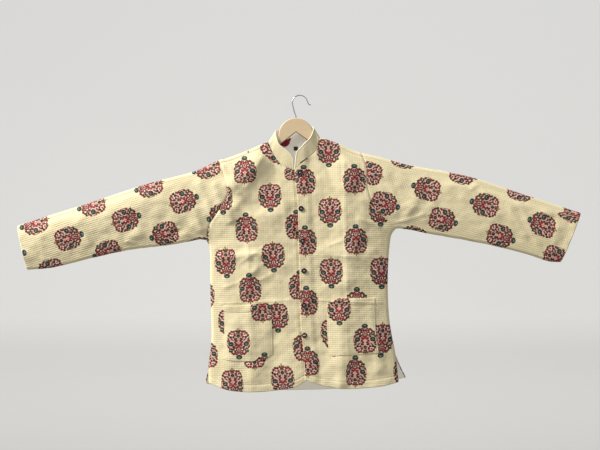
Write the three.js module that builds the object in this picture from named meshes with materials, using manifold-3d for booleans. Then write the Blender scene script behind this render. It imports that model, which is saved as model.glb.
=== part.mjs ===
// A quilted cotton jacket with a mandarin collar, spread on a wooden hanger, in millimetres.
// X runs across the garment, +Z is up and the front faces -Y. The origin is the inside of the hook's crown.
// Right and left are the wearer's: the right side of the jacket lies at negative X.
import * as THREE from "three";
import { mergeVertices } from "three/addons/utils/BufferGeometryUtils.js";
import Module from "manifold-3d";

// Driving sizes
const WALL = 2.4; // the quilted cloth: two layers of cotton and a thin wadding
const SEAM = 0.3; // gap between two pieces that are sewn together
const ROLL = 10; // radius of the roll where the front turns into the back
const BULGE = 11; // how far the middle of the body stands proud of that roll
const BULGE_REACH = 70; // distance from the outline over which the bulge grows
const PUFF = 0.8; // height of a quilted channel over its stitched line
const LAP = 22; // width of the left front that lies over the right front
const LAP_FADE = 18; // distance over which the lap comes down beside the hidden edge
const LAP_CLEARANCE = 0.8;
const POCKET_WALL = 1.8;
const POCKET_CLEARANCE = 0.4;
const LABEL = { side: 11, thick: 0.6, x: -11.5, z: -146 };
const BUTTON = { radius: 7.5, rim: 2.2, middle: 1.5, dish: 4.6, sides: 14 };
const HANGER = { thick: 11, bevel: 2.5, inset: 4.6, headRadius: 47, headX: -11, headZ: -107 };
const HOOK = { wire: 1.6, radius: 20.6, sides: 4, steps: 44, bore: 1.9, depth: 24 };

// How finely the panels are divided
const CURVE_STEPS = 8; // between two rows of an outline table
const BODY_ROWS = 38;
const SLEEVE_RINGS = 14;
const COLLAR_ROWS = 5;
const ROLL_STEPS = [0, 0.13, 0.5, 1]; // shares of the roll's radius at which the rolled edge has points
const RING_SPREAD = 1.2; // over 1, a sleeve's rings lie closer together at the armhole

// A table is written as its column names and one list for each row.
function table(columns, rows) {
  const names = columns.split(" ");
  return rows.map((row) => Object.fromEntries(names.map((name, i) => [name, row[i]])));
}

// Outlines of the garment seen from the front, each from the cuff inwards or from the top down
const OUTLINE = {
  right: {
    sleeveTop: table("x z", [
      [-764, -352],
      [-675, -323],
      [-594, -298],
      [-521, -274],
      [-405, -236],
      [-284, -204],
      [-219, -174],
    ]),
    shoulder: table("x z", [
      [-219, -174],
      [-189, -166],
      [-140, -147],
      [-103, -131],
      [-86, -125],
    ]),
    sleeveUnder: table("x z", [
      [-737, -471],
      [-675, -466],
      [-562, -439],
      [-459, -417],
      [-351, -404],
      [-297, -394],
      [-272, -389],
      [-255, -392],
    ]),
    side: table("x z", [
      [-255, -392],
      [-247, -403],
      [-244, -430],
      [-243, -525],
      [-240, -660],
      [-248, -733],
    ]),
    armhole: table("x z", [
      [-255, -392],
      [-245, -352],
      [-216, -306],
      [-195, -264],
      [-203, -225],
      [-219, -174],
    ]),
    neck: table("x z", [
      [-86, -125],
      [-76, -150],
      [-57, -180],
      [-40, -193],
      [-17, -201],
      [6, -204],
    ]),
    hem: table("x z", [
      [-247, -776],
      [-202, -792],
      [-162, -798],
      [-108, -798],
      [-54, -793],
      [-19, -787],
      [0, -779],
      [14, -769],
      [34, -757],
    ]),
    backCorner: { x: -256, z: -779 },
  },
  left: {
    sleeveTop: table("x z", [
      [759, -317],
      [702, -298],
      [594, -263],
      [473, -223],
      [405, -207],
      [297, -188],
      [216, -166],
      [167, -155],
    ]),
    shoulder: table("x z", [
      [167, -155],
      [135, -144],
      [108, -131],
      [76, -119],
      [54, -112],
    ]),
    sleeveUnder: table("x z", [
      [705, -450],
      [675, -449],
      [621, -431],
      [540, -410],
      [459, -393],
      [351, -374],
      [284, -361],
      [260, -361],
    ]),
    side: table("x z", [
      [260, -361],
      [248, -376],
      [243, -404],
      [238, -485],
      [240, -579],
      [246, -633],
      [259, -701],
    ]),
    armhole: table("x z", [
      [260, -361],
      [243, -343],
      [212, -317],
      [192, -282],
      [182, -245],
      [178, -192],
      [167, -155],
    ]),
    neck: table("x z", [
      [54, -112],
      [49, -131],
      [43, -150],
      [27, -166],
      [13, -177],
      [-14, -200],
    ]),
    hem: table("x z", [
      [267, -774],
      [216, -784],
      [121, -790],
      [81, -785],
      [54, -779],
      [32, -772],
      [14, -765],
    ]),
    backCorner: { x: 286, z: -763 },
  },
};
const BACK_NECK = table("x z", [
  [-86, -125],
  [-60, -134],
  [-16, -138],
  [28, -127],
  [54, -112],
]);
const BACK_HEM = table("x z", [
  [-256, -779],
  [-189, -794],
  [-108, -799],
  [0, -799],
  [121, -795],
  [216, -783],
  [286, -763],
]);
// The edge of the left front, from the hem up
const FRONT_EDGE = table("x z", [
  [14, -765],
  [12, -709],
  [4, -639],
  [1, -552],
  [-3, -390],
  [-7, -277],
  [-14, -200],
]);
// The collar's top edge, from the right front end round the back to the left front end
const COLLAR_TOP = {
  right: table("x y z", [
    [-20, -19, -172],
    [-26, -19, -161],
    [-40, -18, -147],
    [-57, -16, -133],
    [-64, -12, -115],
    [-67, -6, -102],
    [-67, 0, -96],
  ]),
  back: table("x y z", [
    [-67, 0, -96],
    [-63, 8, -93],
    [-46, 16, -95],
    [-16, 19, -98],
    [16, 15, -92],
    [31, 8, -86],
    [36, 0, -84],
  ]),
  left: table("x y z", [
    [36, 0, -84],
    [37, -7, -90],
    [34, -14, -103],
    [27, -18, -117],
    [13, -20, -131],
    [-9, -21, -154],
  ]),
};
// The largest folds: a soft ridge or, below zero, a soft trough along a line on one face
const FOLDS = table("face x1 z1 x2 z2 width height", [
  ["front", -103, -180, -190, -325, 17, 3.2],
  ["front", -60, -215, -150, -370, 20, -2.2],
  ["front", -122, -425, -205, -440, 16, 2.6],
  ["front", -138, -400, -140, -560, 18, -1.8],
  ["front", 122, -210, 127, -770, 18, -2.0],
  ["front", 70, -420, 200, -428, 16, 1.6],
  ["front", 60, -548, 225, -556, 16, 1.4],
  ["front", 180, -290, 150, -420, 16, 2.4],
  ["front", -180, -620, -190, -790, 22, 3.0],
  ["front", -60, -640, -75, -790, 24, -2.6],
  ["front", 200, -620, 215, -780, 22, 2.6],
  ["front", -675, -335, -351, -232, 13, 3.0],
  ["front", -312, -290, -264, -366, 13, 3.6],
  ["front", -345, -395, -300, -330, 14, -2.4],
  ["front", -462, -395, -435, -375, 14, 2.4],
  ["front", 284, -325, 312, -290, 13, 3.4],
  ["front", 300, -276, 372, -306, 14, -2.6],
  ["front", 440, -275, 560, -330, 14, 2.2],
  ["back", -150, -210, -215, -330, 18, 3.0],
  ["back", -70, -260, -80, -700, 24, -2.6],
  ["back", 120, -215, 190, -320, 18, 3.0],
  ["back", 60, -330, 70, -740, 24, 2.4],
  ["back", -180, -560, -170, -780, 22, 2.6],
  ["back", 185, -520, 200, -770, 22, -2.4],
  ["back", -640, -350, -380, -270, 14, 2.6],
  ["back", -310, -300, -270, -365, 13, 3.2],
  ["back", 280, -330, 320, -280, 13, 3.2],
  ["back", 420, -290, 640, -370, 14, 2.2],
]);
const FOLD_FADE = 26; // distance from the outline over which a fold grows
const BUTTON_PLACES = table("x z", [
  [0, -209],
  [3, -306],
  [7, -393],
  [11, -473],
  [11, -565],
  [12, -646],
]);
const BUTTON_CLEARANCE = 0.3;

// Columns of the panels: shares of the way from the side to the middle
const NECK_SHARE = 0.54; // where a front's shoulder ends and its neck begins
const POCKET_SHARES = { right: [0.12, 0.606], left: [0.15, 0.69] };
const POCKET_ROWS = { right: [5, 13], left: [5, 13] };
const BACK_NECK_SHARES = [0.32, 0.68];
const SIDE_SHARE = 0.63; // of a panel's outer edge: below it the side seam, above it the armhole
const FRONT_WIDTH = 250;
const BACK_WIDTH = 500;
const PANEL_HEIGHT = 590;
const FRONT_NECK_LENGTH = 270; // the neck and shoulder edge of a front
const BACK_NECK_LENGTH = 440;

// Points of a smooth curve through the rows of a table
function smooth(rows) {
  const stations = rows.map((row) => new THREE.Vector3(row.x, row.y ?? 0, row.z));
  const spline = new THREE.CatmullRomCurve3(stations, false, "centripetal");
  return spline.getPoints((rows.length - 1) * CURVE_STEPS);
}

// Two or more tables that share their end rows, smoothed as one curve and cut at those rows again
function smoothParts(...tables) {
  const rows = tables.flatMap((part, i) => (i ? part.slice(1) : part));
  const points = smooth(rows);
  let start = 0;
  return tables.map((part) => {
    const end = start + (part.length - 1) * CURVE_STEPS;
    const piece = points.slice(start, end + 1);
    start = end;
    return piece;
  });
}

// The point at a share of the length of a line of points
function along(points) {
  const lengths = [0];
  for (let i = 1; i < points.length; i++) {
    lengths.push(lengths[i - 1] + points[i].distanceTo(points[i - 1]));
  }
  const total = lengths[points.length - 1];
  return (share) => {
    const wanted = Math.min(Math.max(share, 0), 1) * total;
    let i = 1;
    while (i < points.length - 1 && lengths[i] < wanted) i++;
    const part = (wanted - lengths[i - 1]) / (lengths[i] - lengths[i - 1]);
    return points[i - 1].clone().lerp(points[i], part);
  };
}

// Two lines end to end, the first one up to a share of the way and the second one after it
function inTurn(first, second, share) {
  return (t) => (t < share ? first(t / share) : second((t - share) / (1 - share)));
}

function reversed(line) {
  return (t) => line(1 - t);
}

function smoothstep(value, low, high) {
  const t = Math.min(Math.max((value - low) / (high - low), 0), 1);
  return t * t * (3 - 2 * t);
}

// The parts of each side's outline
function outlineOf(side) {
  const rows = OUTLINE[side];
  const [sleeveTop, shoulder] = smoothParts(rows.sleeveTop, rows.shoulder);
  const frontSide = [...rows.side, rows.hem[0]];
  const backSide = [...rows.side, rows.backCorner];
  const [sleeveUnder, front] = smoothParts(rows.sleeveUnder, frontSide);
  const [, back] = smoothParts(rows.sleeveUnder, backSide);
  const armhole = smooth(rows.armhole);
  return { sleeveTop, shoulder, sleeveUnder, sides: { front, back }, armhole };
}
const outlines = { right: outlineOf("right"), left: outlineOf("left") };

// The chains that the cloth rolls round, with the side of each chain on which the cloth lies
function chainsOf(face) {
  const chains = [];
  for (const [side, turn] of [
    ["right", 1],
    ["left", -1],
  ]) {
    const o = outlines[side];
    chains.push({ points: [...o.sleeveTop, ...o.shoulder.slice(1)], turn: -turn });
    chains.push({ points: [...o.sleeveUnder, ...o.sides[face].slice(1)], turn });
  }
  return chains;
}
const chains = { front: chainsOf("front"), back: chainsOf("back") };

// Distance from a chain to a point of the cloth, and the chain's inward direction there
function nearestOn(chain, x, z) {
  const best = { distance: Infinity, nx: 0, nz: 0 };
  const points = chain.points;
  for (let i = 1; i < points.length; i++) {
    const a = points[i - 1];
    const dx = points[i].x - a.x;
    const dz = points[i].z - a.z;
    const length = Math.hypot(dx, dz);
    const t = Math.min(Math.max(((x - a.x) * dx + (z - a.z) * dz) / (length * length), 0), 1);
    const distance = Math.hypot(x - a.x - t * dx, z - a.z - t * dz);
    if (distance < best.distance) {
      best.distance = distance;
      best.nx = (-dz / length) * chain.turn;
      best.nz = (dx / length) * chain.turn;
    }
  }
  return best;
}

// Height that the folds of one face add at a point
function foldAt(face, x, z, inside) {
  let height = 0;
  for (const fold of FOLDS) {
    if (fold.face !== face) continue;
    const dx = fold.x2 - fold.x1;
    const dz = fold.z2 - fold.z1;
    const t = ((x - fold.x1) * dx + (z - fold.z1) * dz) / (dx * dx + dz * dz);
    const near = Math.min(Math.max(t, 0), 1);
    const distance = Math.hypot(x - fold.x1 - near * dx, z - fold.z1 - near * dz);
    height += fold.height * Math.exp(-((distance / fold.width) ** 2));
  }
  return height * smoothstep(inside, ROLL, ROLL + FOLD_FADE);
}

// The cloth of one face over a point of the outline's plane: how far it stands from that plane, and how it leans
function clothAt(face, x, z) {
  const SHARPNESS = 3;
  let sum = 0;
  let nearest = { distance: Infinity };
  for (const chain of chains[face]) {
    const found = nearestOn(chain, x, z);
    sum += Math.max(found.distance, 1e-6) ** -SHARPNESS;
    if (found.distance < nearest.distance) nearest = found;
  }
  const inside = sum ** (-1 / SHARPNESS);
  const lean = Math.max(0, 1 - inside / ROLL);
  const upright = Math.sqrt(1 - lean * lean);
  const beyond = Math.max(0, inside - ROLL) / BULGE_REACH;
  const height = ROLL * upright + BULGE * (1 - Math.exp(-beyond * beyond)) + foldAt(face, x, z, inside);
  return { height, lean, upright, nx: nearest.nx, nz: nearest.nz };
}

// A point of a wall: on the outer side at offset 0, within the wall below it and above it for what lies on it
function wallPoint(face, at, offset) {
  const cloth = clothAt(face, at.x, at.z);
  const height = Math.max(cloth.height + offset * cloth.upright, SEAM / 2);
  const x = at.x - offset * cloth.lean * cloth.nx;
  const z = at.z - offset * cloth.lean * cloth.nz;
  return new THREE.Vector3(x, face === "front" ? -height : height, z);
}

// A four-sided patch between its edge lines, all measured from the same corners
function patch(bottom, top, start, end) {
  return (u, v) => {
    const across = bottom(u).lerp(top(u), v);
    const up = start(v).lerp(end(v), u);
    const low = bottom(0).lerp(bottom(1), u);
    const high = top(0).lerp(top(1), u);
    return across.add(up).sub(low.lerp(high, v));
  };
}

// Shares from 0 to 1 in even steps that go through each of the given shares
function evenShares(fixed, count) {
  const shares = [fixed[0]];
  for (let i = 1; i < fixed.length; i++) {
    const span = fixed[i] - fixed[i - 1];
    const steps = Math.max(1, Math.round(span * count));
    for (let k = 1; k <= steps; k++) shares.push(fixed[i - 1] + (span * k) / steps);
  }
  return shares;
}

// The share of a line of that length at each point of the roll
function rollShares(length) {
  return ROLL_STEPS.map((step) => (step * ROLL) / length);
}

// A closed body from triangles, with its faces outwards
function body(points, triangles) {
  const geometry = new THREE.BufferGeometry();
  const numbers = points.flatMap((p) => [p.x, p.y, p.z]);
  let volume = 0;
  for (const [a, b, c] of triangles) {
    volume += points[a].dot(points[b].clone().cross(points[c]));
  }
  const order = volume < 0 ? triangles.map(([a, b, c]) => [a, c, b]) : triangles;
  geometry.setAttribute("position", new THREE.Float32BufferAttribute(numbers, 3));
  geometry.setIndex(order.flat());
  geometry.computeVertexNormals();
  return geometry;
}

// A wall between an outer and an inner grid of points. The inner one keeps only the rows that are listed.
function wallBody(outer, inner, keptRows) {
  const points = [...outer.flat(), ...inner.flat()];
  const columns = outer[0].length;
  const rows = outer.length;
  const triangles = [];
  const outside = (r, c) => r * columns + c;
  const inside = (r, c) => rows * columns + r * columns + c;
  const quad = (a, b, c, d) => triangles.push([a, b, c], [a, c, d]);
  for (let r = 1; r < rows; r++) {
    for (let c = 1; c < columns; c++) {
      quad(outside(r - 1, c - 1), outside(r - 1, c), outside(r, c), outside(r, c - 1));
    }
  }
  for (let k = 1; k < keptRows.length; k++) {
    const low = keptRows[k - 1];
    const high = keptRows[k];
    for (let c = 1; c < columns; c++) {
      quad(inside(low, c - 1), inside(high, c - 1), inside(high, c), inside(low, c));
    }
    const middle = Math.floor((low + high) / 2);
    for (const [c, turn] of [
      [0, false],
      [columns - 1, true],
    ]) {
      const strip = [[outside(middle, c), inside(high, c), inside(low, c)]];
      for (let r = low; r < high; r++) {
        strip.push([outside(r, c), outside(r + 1, c), inside(r < middle ? low : high, c)]);
      }
      triangles.push(...(turn ? strip.map(([a, b, d]) => [a, d, b]) : strip));
    }
  }
  for (let c = 1; c < columns; c++) {
    quad(inside(0, c - 1), inside(0, c), outside(0, c), outside(0, c - 1));
    const last = rows - 1;
    quad(outside(last, c - 1), outside(last, c), inside(last, c), inside(last, c - 1));
  }
  return compact(points, triangles);
}

// The same body without the points that no triangle uses
function compact(points, triangles) {
  const used = [...new Set(triangles.flat())].sort((a, b) => a - b);
  const place = new Map(used.map((old, i) => [old, i]));
  const kept = used.map((old) => points[old]);
  return body(
    kept,
    triangles.map((triangle) => triangle.map((old) => place.get(old))),
  );
}

// A wall round a tube, from closed rings of outer and inner points
function tubeBody(outer, inner) {
  const rings = outer.length;
  const around = outer[0].length;
  const points = [...outer.flat(), ...inner.flat()];
  const triangles = [];
  const outside = (r, k) => r * around + (k % around);
  const inside = (r, k) => (rings + r) * around + (k % around);
  const quad = (a, b, c, d) => triangles.push([a, b, c], [a, c, d]);
  for (let k = 0; k < around; k++) {
    for (let r = 1; r < rings; r++) {
      quad(outside(r - 1, k), outside(r, k), outside(r, k + 1), outside(r - 1, k + 1));
      quad(inside(r - 1, k), inside(r - 1, k + 1), inside(r, k + 1), inside(r, k));
    }
    const last = rings - 1;
    quad(outside(0, k), outside(0, k + 1), inside(0, k + 1), inside(0, k));
    quad(outside(last, k), inside(last, k), inside(last, k + 1), outside(last, k + 1));
  }
  return body(points, triangles);
}

// Rows of a panel from the hem up, closer together where the cloth rolls at the underarm and the shoulder
const rolledRows = [
  ...rollShares(PANEL_HEIGHT).map((share) => SIDE_SHARE + share),
  ...rollShares(PANEL_HEIGHT)
    .map((share) => 1 - share)
    .reverse(),
];
const rowShares = evenShares([0, ...rolledRows], BODY_ROWS);
const isRolled = (share) => rolledRows.includes(share);
// Inside, every second row is enough below the underarm
const keptRows = rowShares.map((_, row) => row).filter((row) => row % 2 === 0 || rowShares[row] > SIDE_SHARE);

// The stitched lines run across the body. Between two of them the outer side stands up.
function puffAt(row, column, columns) {
  const edge = column < ROLL_STEPS.length - 1 || column > columns - 2;
  return row % 2 === 1 && !edge && !isRolled(rowShares[row]) ? PUFF : 0;
}

const frontEdge = along(smooth(FRONT_EDGE));
function edgeX(z) {
  const points = FRONT_EDGE;
  let i = 1;
  while (i < points.length - 1 && points[i].z < z) i++;
  const t = (z - points[i - 1].z) / (points[i].z - points[i - 1].z);
  return points[i - 1].x + t * (points[i].x - points[i - 1].x);
}

// The left front stands up where it lies over the right front.
function lapRise(at) {
  const fromEdge = at.x - edgeX(at.z);
  return (WALL + LAP_CLEARANCE) * (1 - smoothstep(fromEdge, LAP + 2, LAP + 2 + LAP_FADE));
}

const necks = {
  right: along(smooth(OUTLINE.right.neck)),
  left: along(smooth(OUTLINE.left.neck)),
  back: along(smooth(BACK_NECK)),
};

function frontColumns(side) {
  const [pocketStart, pocketEnd] = POCKET_SHARES[side];
  const nearNeck = rollShares(FRONT_NECK_LENGTH).map((share) => NECK_SHARE + share);
  const nearSide = rollShares(FRONT_WIDTH);
  const fixed = [...nearSide, pocketStart, ...nearNeck, pocketEnd, 1];
  return evenShares(fixed, 11);
}

// Outer and inner grids of one front panel, and the flat places of its outer points
function frontGrid(side) {
  const o = outlines[side];
  const outerEdge = inTurn(reversed(along(o.sides.front)), along(o.armhole), SIDE_SHARE);
  const top = inTurn(along(o.shoulder), necks[side], NECK_SHARE);
  const hem = along(smooth(OUTLINE[side].hem));
  const middle =
    side === "left" ? frontEdge : (t) => hem(1).lerp(top(1), t).add(edgeBow(t, hem(1), top(1)));
  const surface = patch(hem, top, outerEdge, middle);
  const columns = frontColumns(side);
  const hidden = side === "right" ? columns.length - 3 : columns.length;
  const flat = rowShares.map((v) => columns.map((u) => surface(u, v)));
  const rise = side === "left" ? lapRise : () => 0;
  const relief = (row, column) => (column < hidden ? puffAt(row, column, columns.length) : 0);
  const outer = flat.map((line, row) =>
    line.map((at, column) => wallPoint("front", at, rise(at) + relief(row, column))),
  );
  const inner = flat.map((line) => line.map((at) => wallPoint("front", at, rise(at) - WALL)));
  return { flat, columns, outer, inner };
}

// The right front's hidden edge keeps the lap's width from the left front's edge.
function edgeBow(t, low, high) {
  const z = low.z + (high.z - low.z) * t;
  const straight = low.x + (high.x - low.x) * t;
  const wanted = edgeX(z) + LAP;
  return new THREE.Vector3((wanted - straight) * Math.sin(Math.PI * t), 0, 0);
}

function backGrid() {
  const edges = {};
  for (const side of ["right", "left"]) {
    const o = outlines[side];
    edges[side] = inTurn(reversed(along(o.sides.back)), along(o.armhole), SIDE_SHARE);
  }
  const [neckStart, neckEnd] = BACK_NECK_SHARES;
  const shoulders = { right: along(outlines.right.shoulder), left: along(outlines.left.shoulder) };
  const top = (u) => {
    if (u <= neckStart) return shoulders.right(u / neckStart);
    if (u >= neckEnd) return shoulders.left((1 - u) / (1 - neckEnd));
    return necks.back((u - neckStart) / (neckEnd - neckStart));
  };
  const surface = patch(along(smooth(BACK_HEM)), top, edges.right, edges.left);
  const side = rollShares(BACK_WIDTH);
  const neck = rollShares(BACK_NECK_LENGTH);
  const fixed = [
    ...side,
    ...neck.map((share) => neckStart + share),
    ...neck.map((share) => neckEnd - share).reverse(),
    ...side.map((share) => 1 - share).reverse(),
  ];
  const columns = evenShares(fixed, 14);
  const flat = rowShares.map((v) => columns.map((u) => surface(u, v)));
  const relief = (row, column) => {
    const fromEdge = Math.min(column, columns.length - 1 - column);
    return puffAt(row, fromEdge, columns.length);
  };
  const outer = flat.map((line, row) =>
    line.map((at, column) => wallPoint("back", at, relief(row, column))),
  );
  const inner = flat.map((line) => line.map((at) => wallPoint("back", at, -WALL)));
  return { flat, columns, outer, inner };
}

// The gap of a seam, square to the armhole and away from the body
function seamStep(armhole, t, outward) {
  const near = 0.02;
  const line = armhole(t + near).sub(armhole(t - near)).normalize();
  const square = new THREE.Vector3(-line.z, 0, line.x);
  return square.multiplyScalar(SEAM * Math.sign(square.x) * outward);
}

// One sleeve: closed rings from the armhole to the cuff. Its stitched lines run lengthwise.
function sleeve(side) {
  const o = outlines[side];
  const top = reversed(along(o.sleeveTop));
  const under = reversed(along(o.sleeveUnder));
  const armhole = reversed(along(o.armhole));
  const cuff = (t) => top(1).lerp(under(1), t);
  const outward = side === "right" ? -1 : 1;
  const surface = patch(top, under, armhole, cuff);
  // The rings take their points from the panels' rows, so that the two meet along the armhole.
  const armholeRows = rowShares.filter((share) => share >= SIDE_SHARE);
  const across = armholeRows.map((share) => (1 - share) / (1 - SIDE_SHARE)).reverse();
  const rings = { outer: [], inner: [] };
  for (let ring = 0; ring <= SLEEVE_RINGS; ring++) {
    const share = (ring / SLEEVE_RINGS) ** RING_SPREAD;
    const puffed = ring > 0 && ring < SLEEVE_RINGS;
    const outer = [];
    const inner = [];
    for (const face of ["front", "back"]) {
      const order = face === "front" ? across : [...across].reverse();
      for (const t of order.slice(0, -1)) {
        const at = surface(share, t);
        if (ring === 0) at.add(seamStep(armhole, t, outward));
        const column = across.indexOf(t);
        const rolled = isRolled(armholeRows[across.length - 1 - column]);
        const puff = puffed && !rolled && column % 2 === 1 ? PUFF : 0;
        const onFold = column === 0 || column === across.length - 1;
        const pair = [wallPoint(face, at, puff), wallPoint(face, at, -WALL)];
        if (onFold) pair.forEach((point) => point.setY(0));
        outer.push(pair[0]);
        inner.push(pair[1]);
      }
    }
    rings.outer.push(outer);
    rings.inner.push(inner);
  }
  return tubeBody(rings.outer, rings.inner);
}

const fronts = { right: frontGrid("right"), left: frontGrid("left") };
const back = backGrid();

// The collar stands on the top edge points of the three panels. Its wall leans in towards the neck.
function collar() {
  const last = rowShares.length - 1;
  const at = (columns, share) => columns.findIndex((u) => Math.abs(u - share) < 1e-9);
  const frontFoot = (grid) => grid.outer[last].slice(at(grid.columns, NECK_SHARE));
  const hiddenEnd = fronts.right.flat[last].findIndex((p) => p.x > COLLAR_TOP.right[0].x + 3);
  const rightStart = at(fronts.right.columns, NECK_SHARE);
  const backRange = BACK_NECK_SHARES.map((share) => at(back.columns, share));
  const feet = [
    fronts.right.outer[last].slice(rightStart, hiddenEnd).reverse(),
    back.outer[last].slice(backRange[0], backRange[1] + 1),
    frontFoot(fronts.left),
  ];
  const tops = smoothParts(COLLAR_TOP.right, COLLAR_TOP.back, COLLAR_TOP.left).map(along);
  const sections = [];
  feet.forEach((foot, part) => {
    const lengths = [0];
    for (let i = 1; i < foot.length; i++) lengths.push(lengths[i - 1] + foot[i].distanceTo(foot[i - 1]));
    foot.forEach((point, i) => {
      if (part > 0 && i === 0) return;
      const atNeckPoint = (part < 2 && i === foot.length - 1) || (part === 2 && i === 0);
      const low = atNeckPoint ? point.clone().setY(0) : point.clone();
      sections.push({ low, high: tops[part](lengths[i] / lengths[foot.length - 1]) });
    });
  });
  const outer = [];
  const inner = [];
  sections.forEach((section, i) => {
    const before = sections[Math.max(0, i - 1)];
    const after = sections[Math.min(sections.length - 1, i + 1)];
    const up = section.high.clone().sub(section.low).normalize();
    const around = after.high.clone().add(after.low).sub(before.high).sub(before.low);
    const inwards = around.cross(up).normalize();
    const low = section.low.clone().addScaledVector(up, SEAM);
    const line = [];
    for (let k = 0; k <= COLLAR_ROWS; k++) line.push(low.clone().lerp(section.high, k / COLLAR_ROWS));
    outer.push(line);
    inner.push(line.map((point) => point.clone().addScaledVector(inwards, WALL)));
  });
  return wallBody(
    outer,
    inner,
    outer.map((_, i) => i),
  );
}

// A patch pocket made from the panel's own points, moved out
function pocket(side) {
  const { flat, columns, outer } = fronts[side];
  const [start, end] = POCKET_SHARES[side].map((share) => columns.findIndex((u) => Math.abs(u - share) < 1e-9));
  const [low, high] = POCKET_ROWS[side];
  const lift = (offset) =>
    outer.slice(low, high + 1).map((line, r) =>
      line.slice(start, end + 1).map((point, c) => {
        const cloth = clothAt("front", flat[low + r][start + c].x, flat[low + r][start + c].z);
        const out = new THREE.Vector3(-cloth.nx * cloth.lean, -cloth.upright, -cloth.nz * cloth.lean);
        return point.clone().addScaledVector(out, offset);
      }),
    );
  const under = lift(POCKET_CLEARANCE);
  const over = lift(POCKET_CLEARANCE + POCKET_WALL);
  return wallBody(
    over,
    under,
    over.map((_, i) => i),
  );
}

// The foremost surface of a body over a point of the outline's plane
function foremost(geometry, x, z) {
  const position = geometry.getAttribute("position");
  const index = geometry.getIndex();
  const [a, b, c] = [new THREE.Vector3(), new THREE.Vector3(), new THREE.Vector3()];
  let y = Infinity;
  for (let i = 0; i < index.count; i += 3) {
    [a, b, c].forEach((corner, k) => corner.fromBufferAttribute(position, index.getX(i + k)));
    const area = (b.x - a.x) * (c.z - a.z) - (c.x - a.x) * (b.z - a.z);
    if (Math.abs(area) < 1e-9) continue;
    const s = ((x - a.x) * (c.z - a.z) - (c.x - a.x) * (z - a.z)) / area;
    const t = ((b.x - a.x) * (z - a.z) - (x - a.x) * (b.z - a.z)) / area;
    if (s < 0 || t < 0 || s + t > 1) continue;
    y = Math.min(y, a.y + s * (b.y - a.y) + t * (c.y - a.y));
  }
  return y;
}

// The foremost surface under a round or square thing of that reach
function foremostUnder(geometry, x, z, reach) {
  let y = foremost(geometry, x, z);
  for (let k = 0; k < 16; k++) {
    const angle = (k * Math.PI) / 8;
    for (const share of [0.5, 1]) {
      const far = reach * share;
      y = Math.min(y, foremost(geometry, x + far * Math.cos(angle), z + far * Math.sin(angle)));
    }
  }
  return y;
}

// A round button with a rim and a dished middle, its back towards the cloth
function buttonGeometry() {
  const { radius, rim, middle, dish, sides } = BUTTON;
  const profile = [
    [0, 0],
    [radius - 0.7, 0],
    [radius, 0.7],
    [radius, rim - 0.7],
    [radius - 0.8, rim],
    [dish + 0.6, rim],
    [dish - 0.4, middle],
    [0, middle],
  ];
  const geometry = new THREE.LatheGeometry(
    profile.map(([r, h]) => new THREE.Vector2(r, h)),
    sides,
  );
  return geometry.rotateX(Math.PI); // the button's face towards -Y once it stands against the cloth
}

function hangerOutline() {
  const reach = { right: 0.93, left: 0.9 };
  const stations = 8;
  const armTop = (side) => {
    const shoulder = along(outlines[side].shoulder);
    const chain = chains.front.find((c) => c.points.includes(outlines[side].shoulder[1]));
    const points = [];
    for (let i = 0; i <= stations; i++) {
      const at = shoulder(1 - (reach[side] * i) / stations);
      const { nx, nz } = nearestOn(chain, at.x, at.z);
      points.push(new THREE.Vector2(at.x + nx * HANGER.inset, at.z + nz * HANGER.inset));
    }
    return points;
  };
  const { headRadius, headX, headZ } = HANGER;
  const tops = { right: armTop("right").reverse(), left: armTop("left") };
  const shape = [...tops.right];
  const domeSteps = 16;
  const from = 197;
  const to = -12;
  for (let i = 0; i <= domeSteps; i++) {
    const angle = THREE.MathUtils.degToRad(from + ((to - from) * i) / domeSteps);
    shape.push(new THREE.Vector2(headX + headRadius * Math.cos(angle), headZ + headRadius * Math.sin(angle)));
  }
  shape.push(...tops.left);
  const armWidth = (i) => 27 - (11 * i) / stations;
  const under = (points) => points.map((p, i) => new THREE.Vector2(p.x, p.y - armWidth(i)));
  shape.push(...under(tops.left).reverse());
  shape.push(new THREE.Vector2(headX, -98));
  shape.push(...under([...tops.right].reverse()));
  return shape;
}

const wasm = await Module();
wasm.setup();

// A geometry as a solid of the boolean library, and back
function solidOf(geometry) {
  const bare = geometry.clone();
  bare.deleteAttribute("normal");
  bare.deleteAttribute("uv");
  const merged = mergeVertices(bare, 1e-4);
  const vertProperties = merged.attributes.position.array;
  const triVerts = new Uint32Array(merged.index.array);
  return new wasm.Manifold(new wasm.Mesh({ numProp: 3, vertProperties, triVerts }));
}

function geometryOf(solid) {
  const mesh = solid.getMesh();
  const geometry = new THREE.BufferGeometry();
  geometry.setAttribute("position", new THREE.BufferAttribute(mesh.vertProperties, 3));
  geometry.setIndex(new THREE.BufferAttribute(mesh.triVerts, 1));
  geometry.computeVertexNormals();
  return geometry;
}

// The wooden hanger: one flat board with rounded edges, and a bore in its head for the hook's stem
function hanger() {
  const { thick, bevel } = HANGER;
  const shape = new THREE.Shape(hangerOutline());
  const board = new THREE.ExtrudeGeometry(shape, {
    depth: thick - 2 * bevel,
    bevelThickness: bevel,
    bevelSize: bevel,
    bevelOffset: -bevel,
    bevelSegments: 2,
    curveSegments: 1,
  });
  board.translate(0, 0, bevel - thick / 2).rotateX(Math.PI / 2);
  const bore = new THREE.CylinderGeometry(HOOK.bore, HOOK.bore, 2 * HOOK.depth, 16);
  bore.rotateX(Math.PI / 2).translate(HANGER.headX, 0, HANGER.headZ + HANGER.headRadius);
  return geometryOf(solidOf(board).subtract(solidOf(bore)));
}

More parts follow.
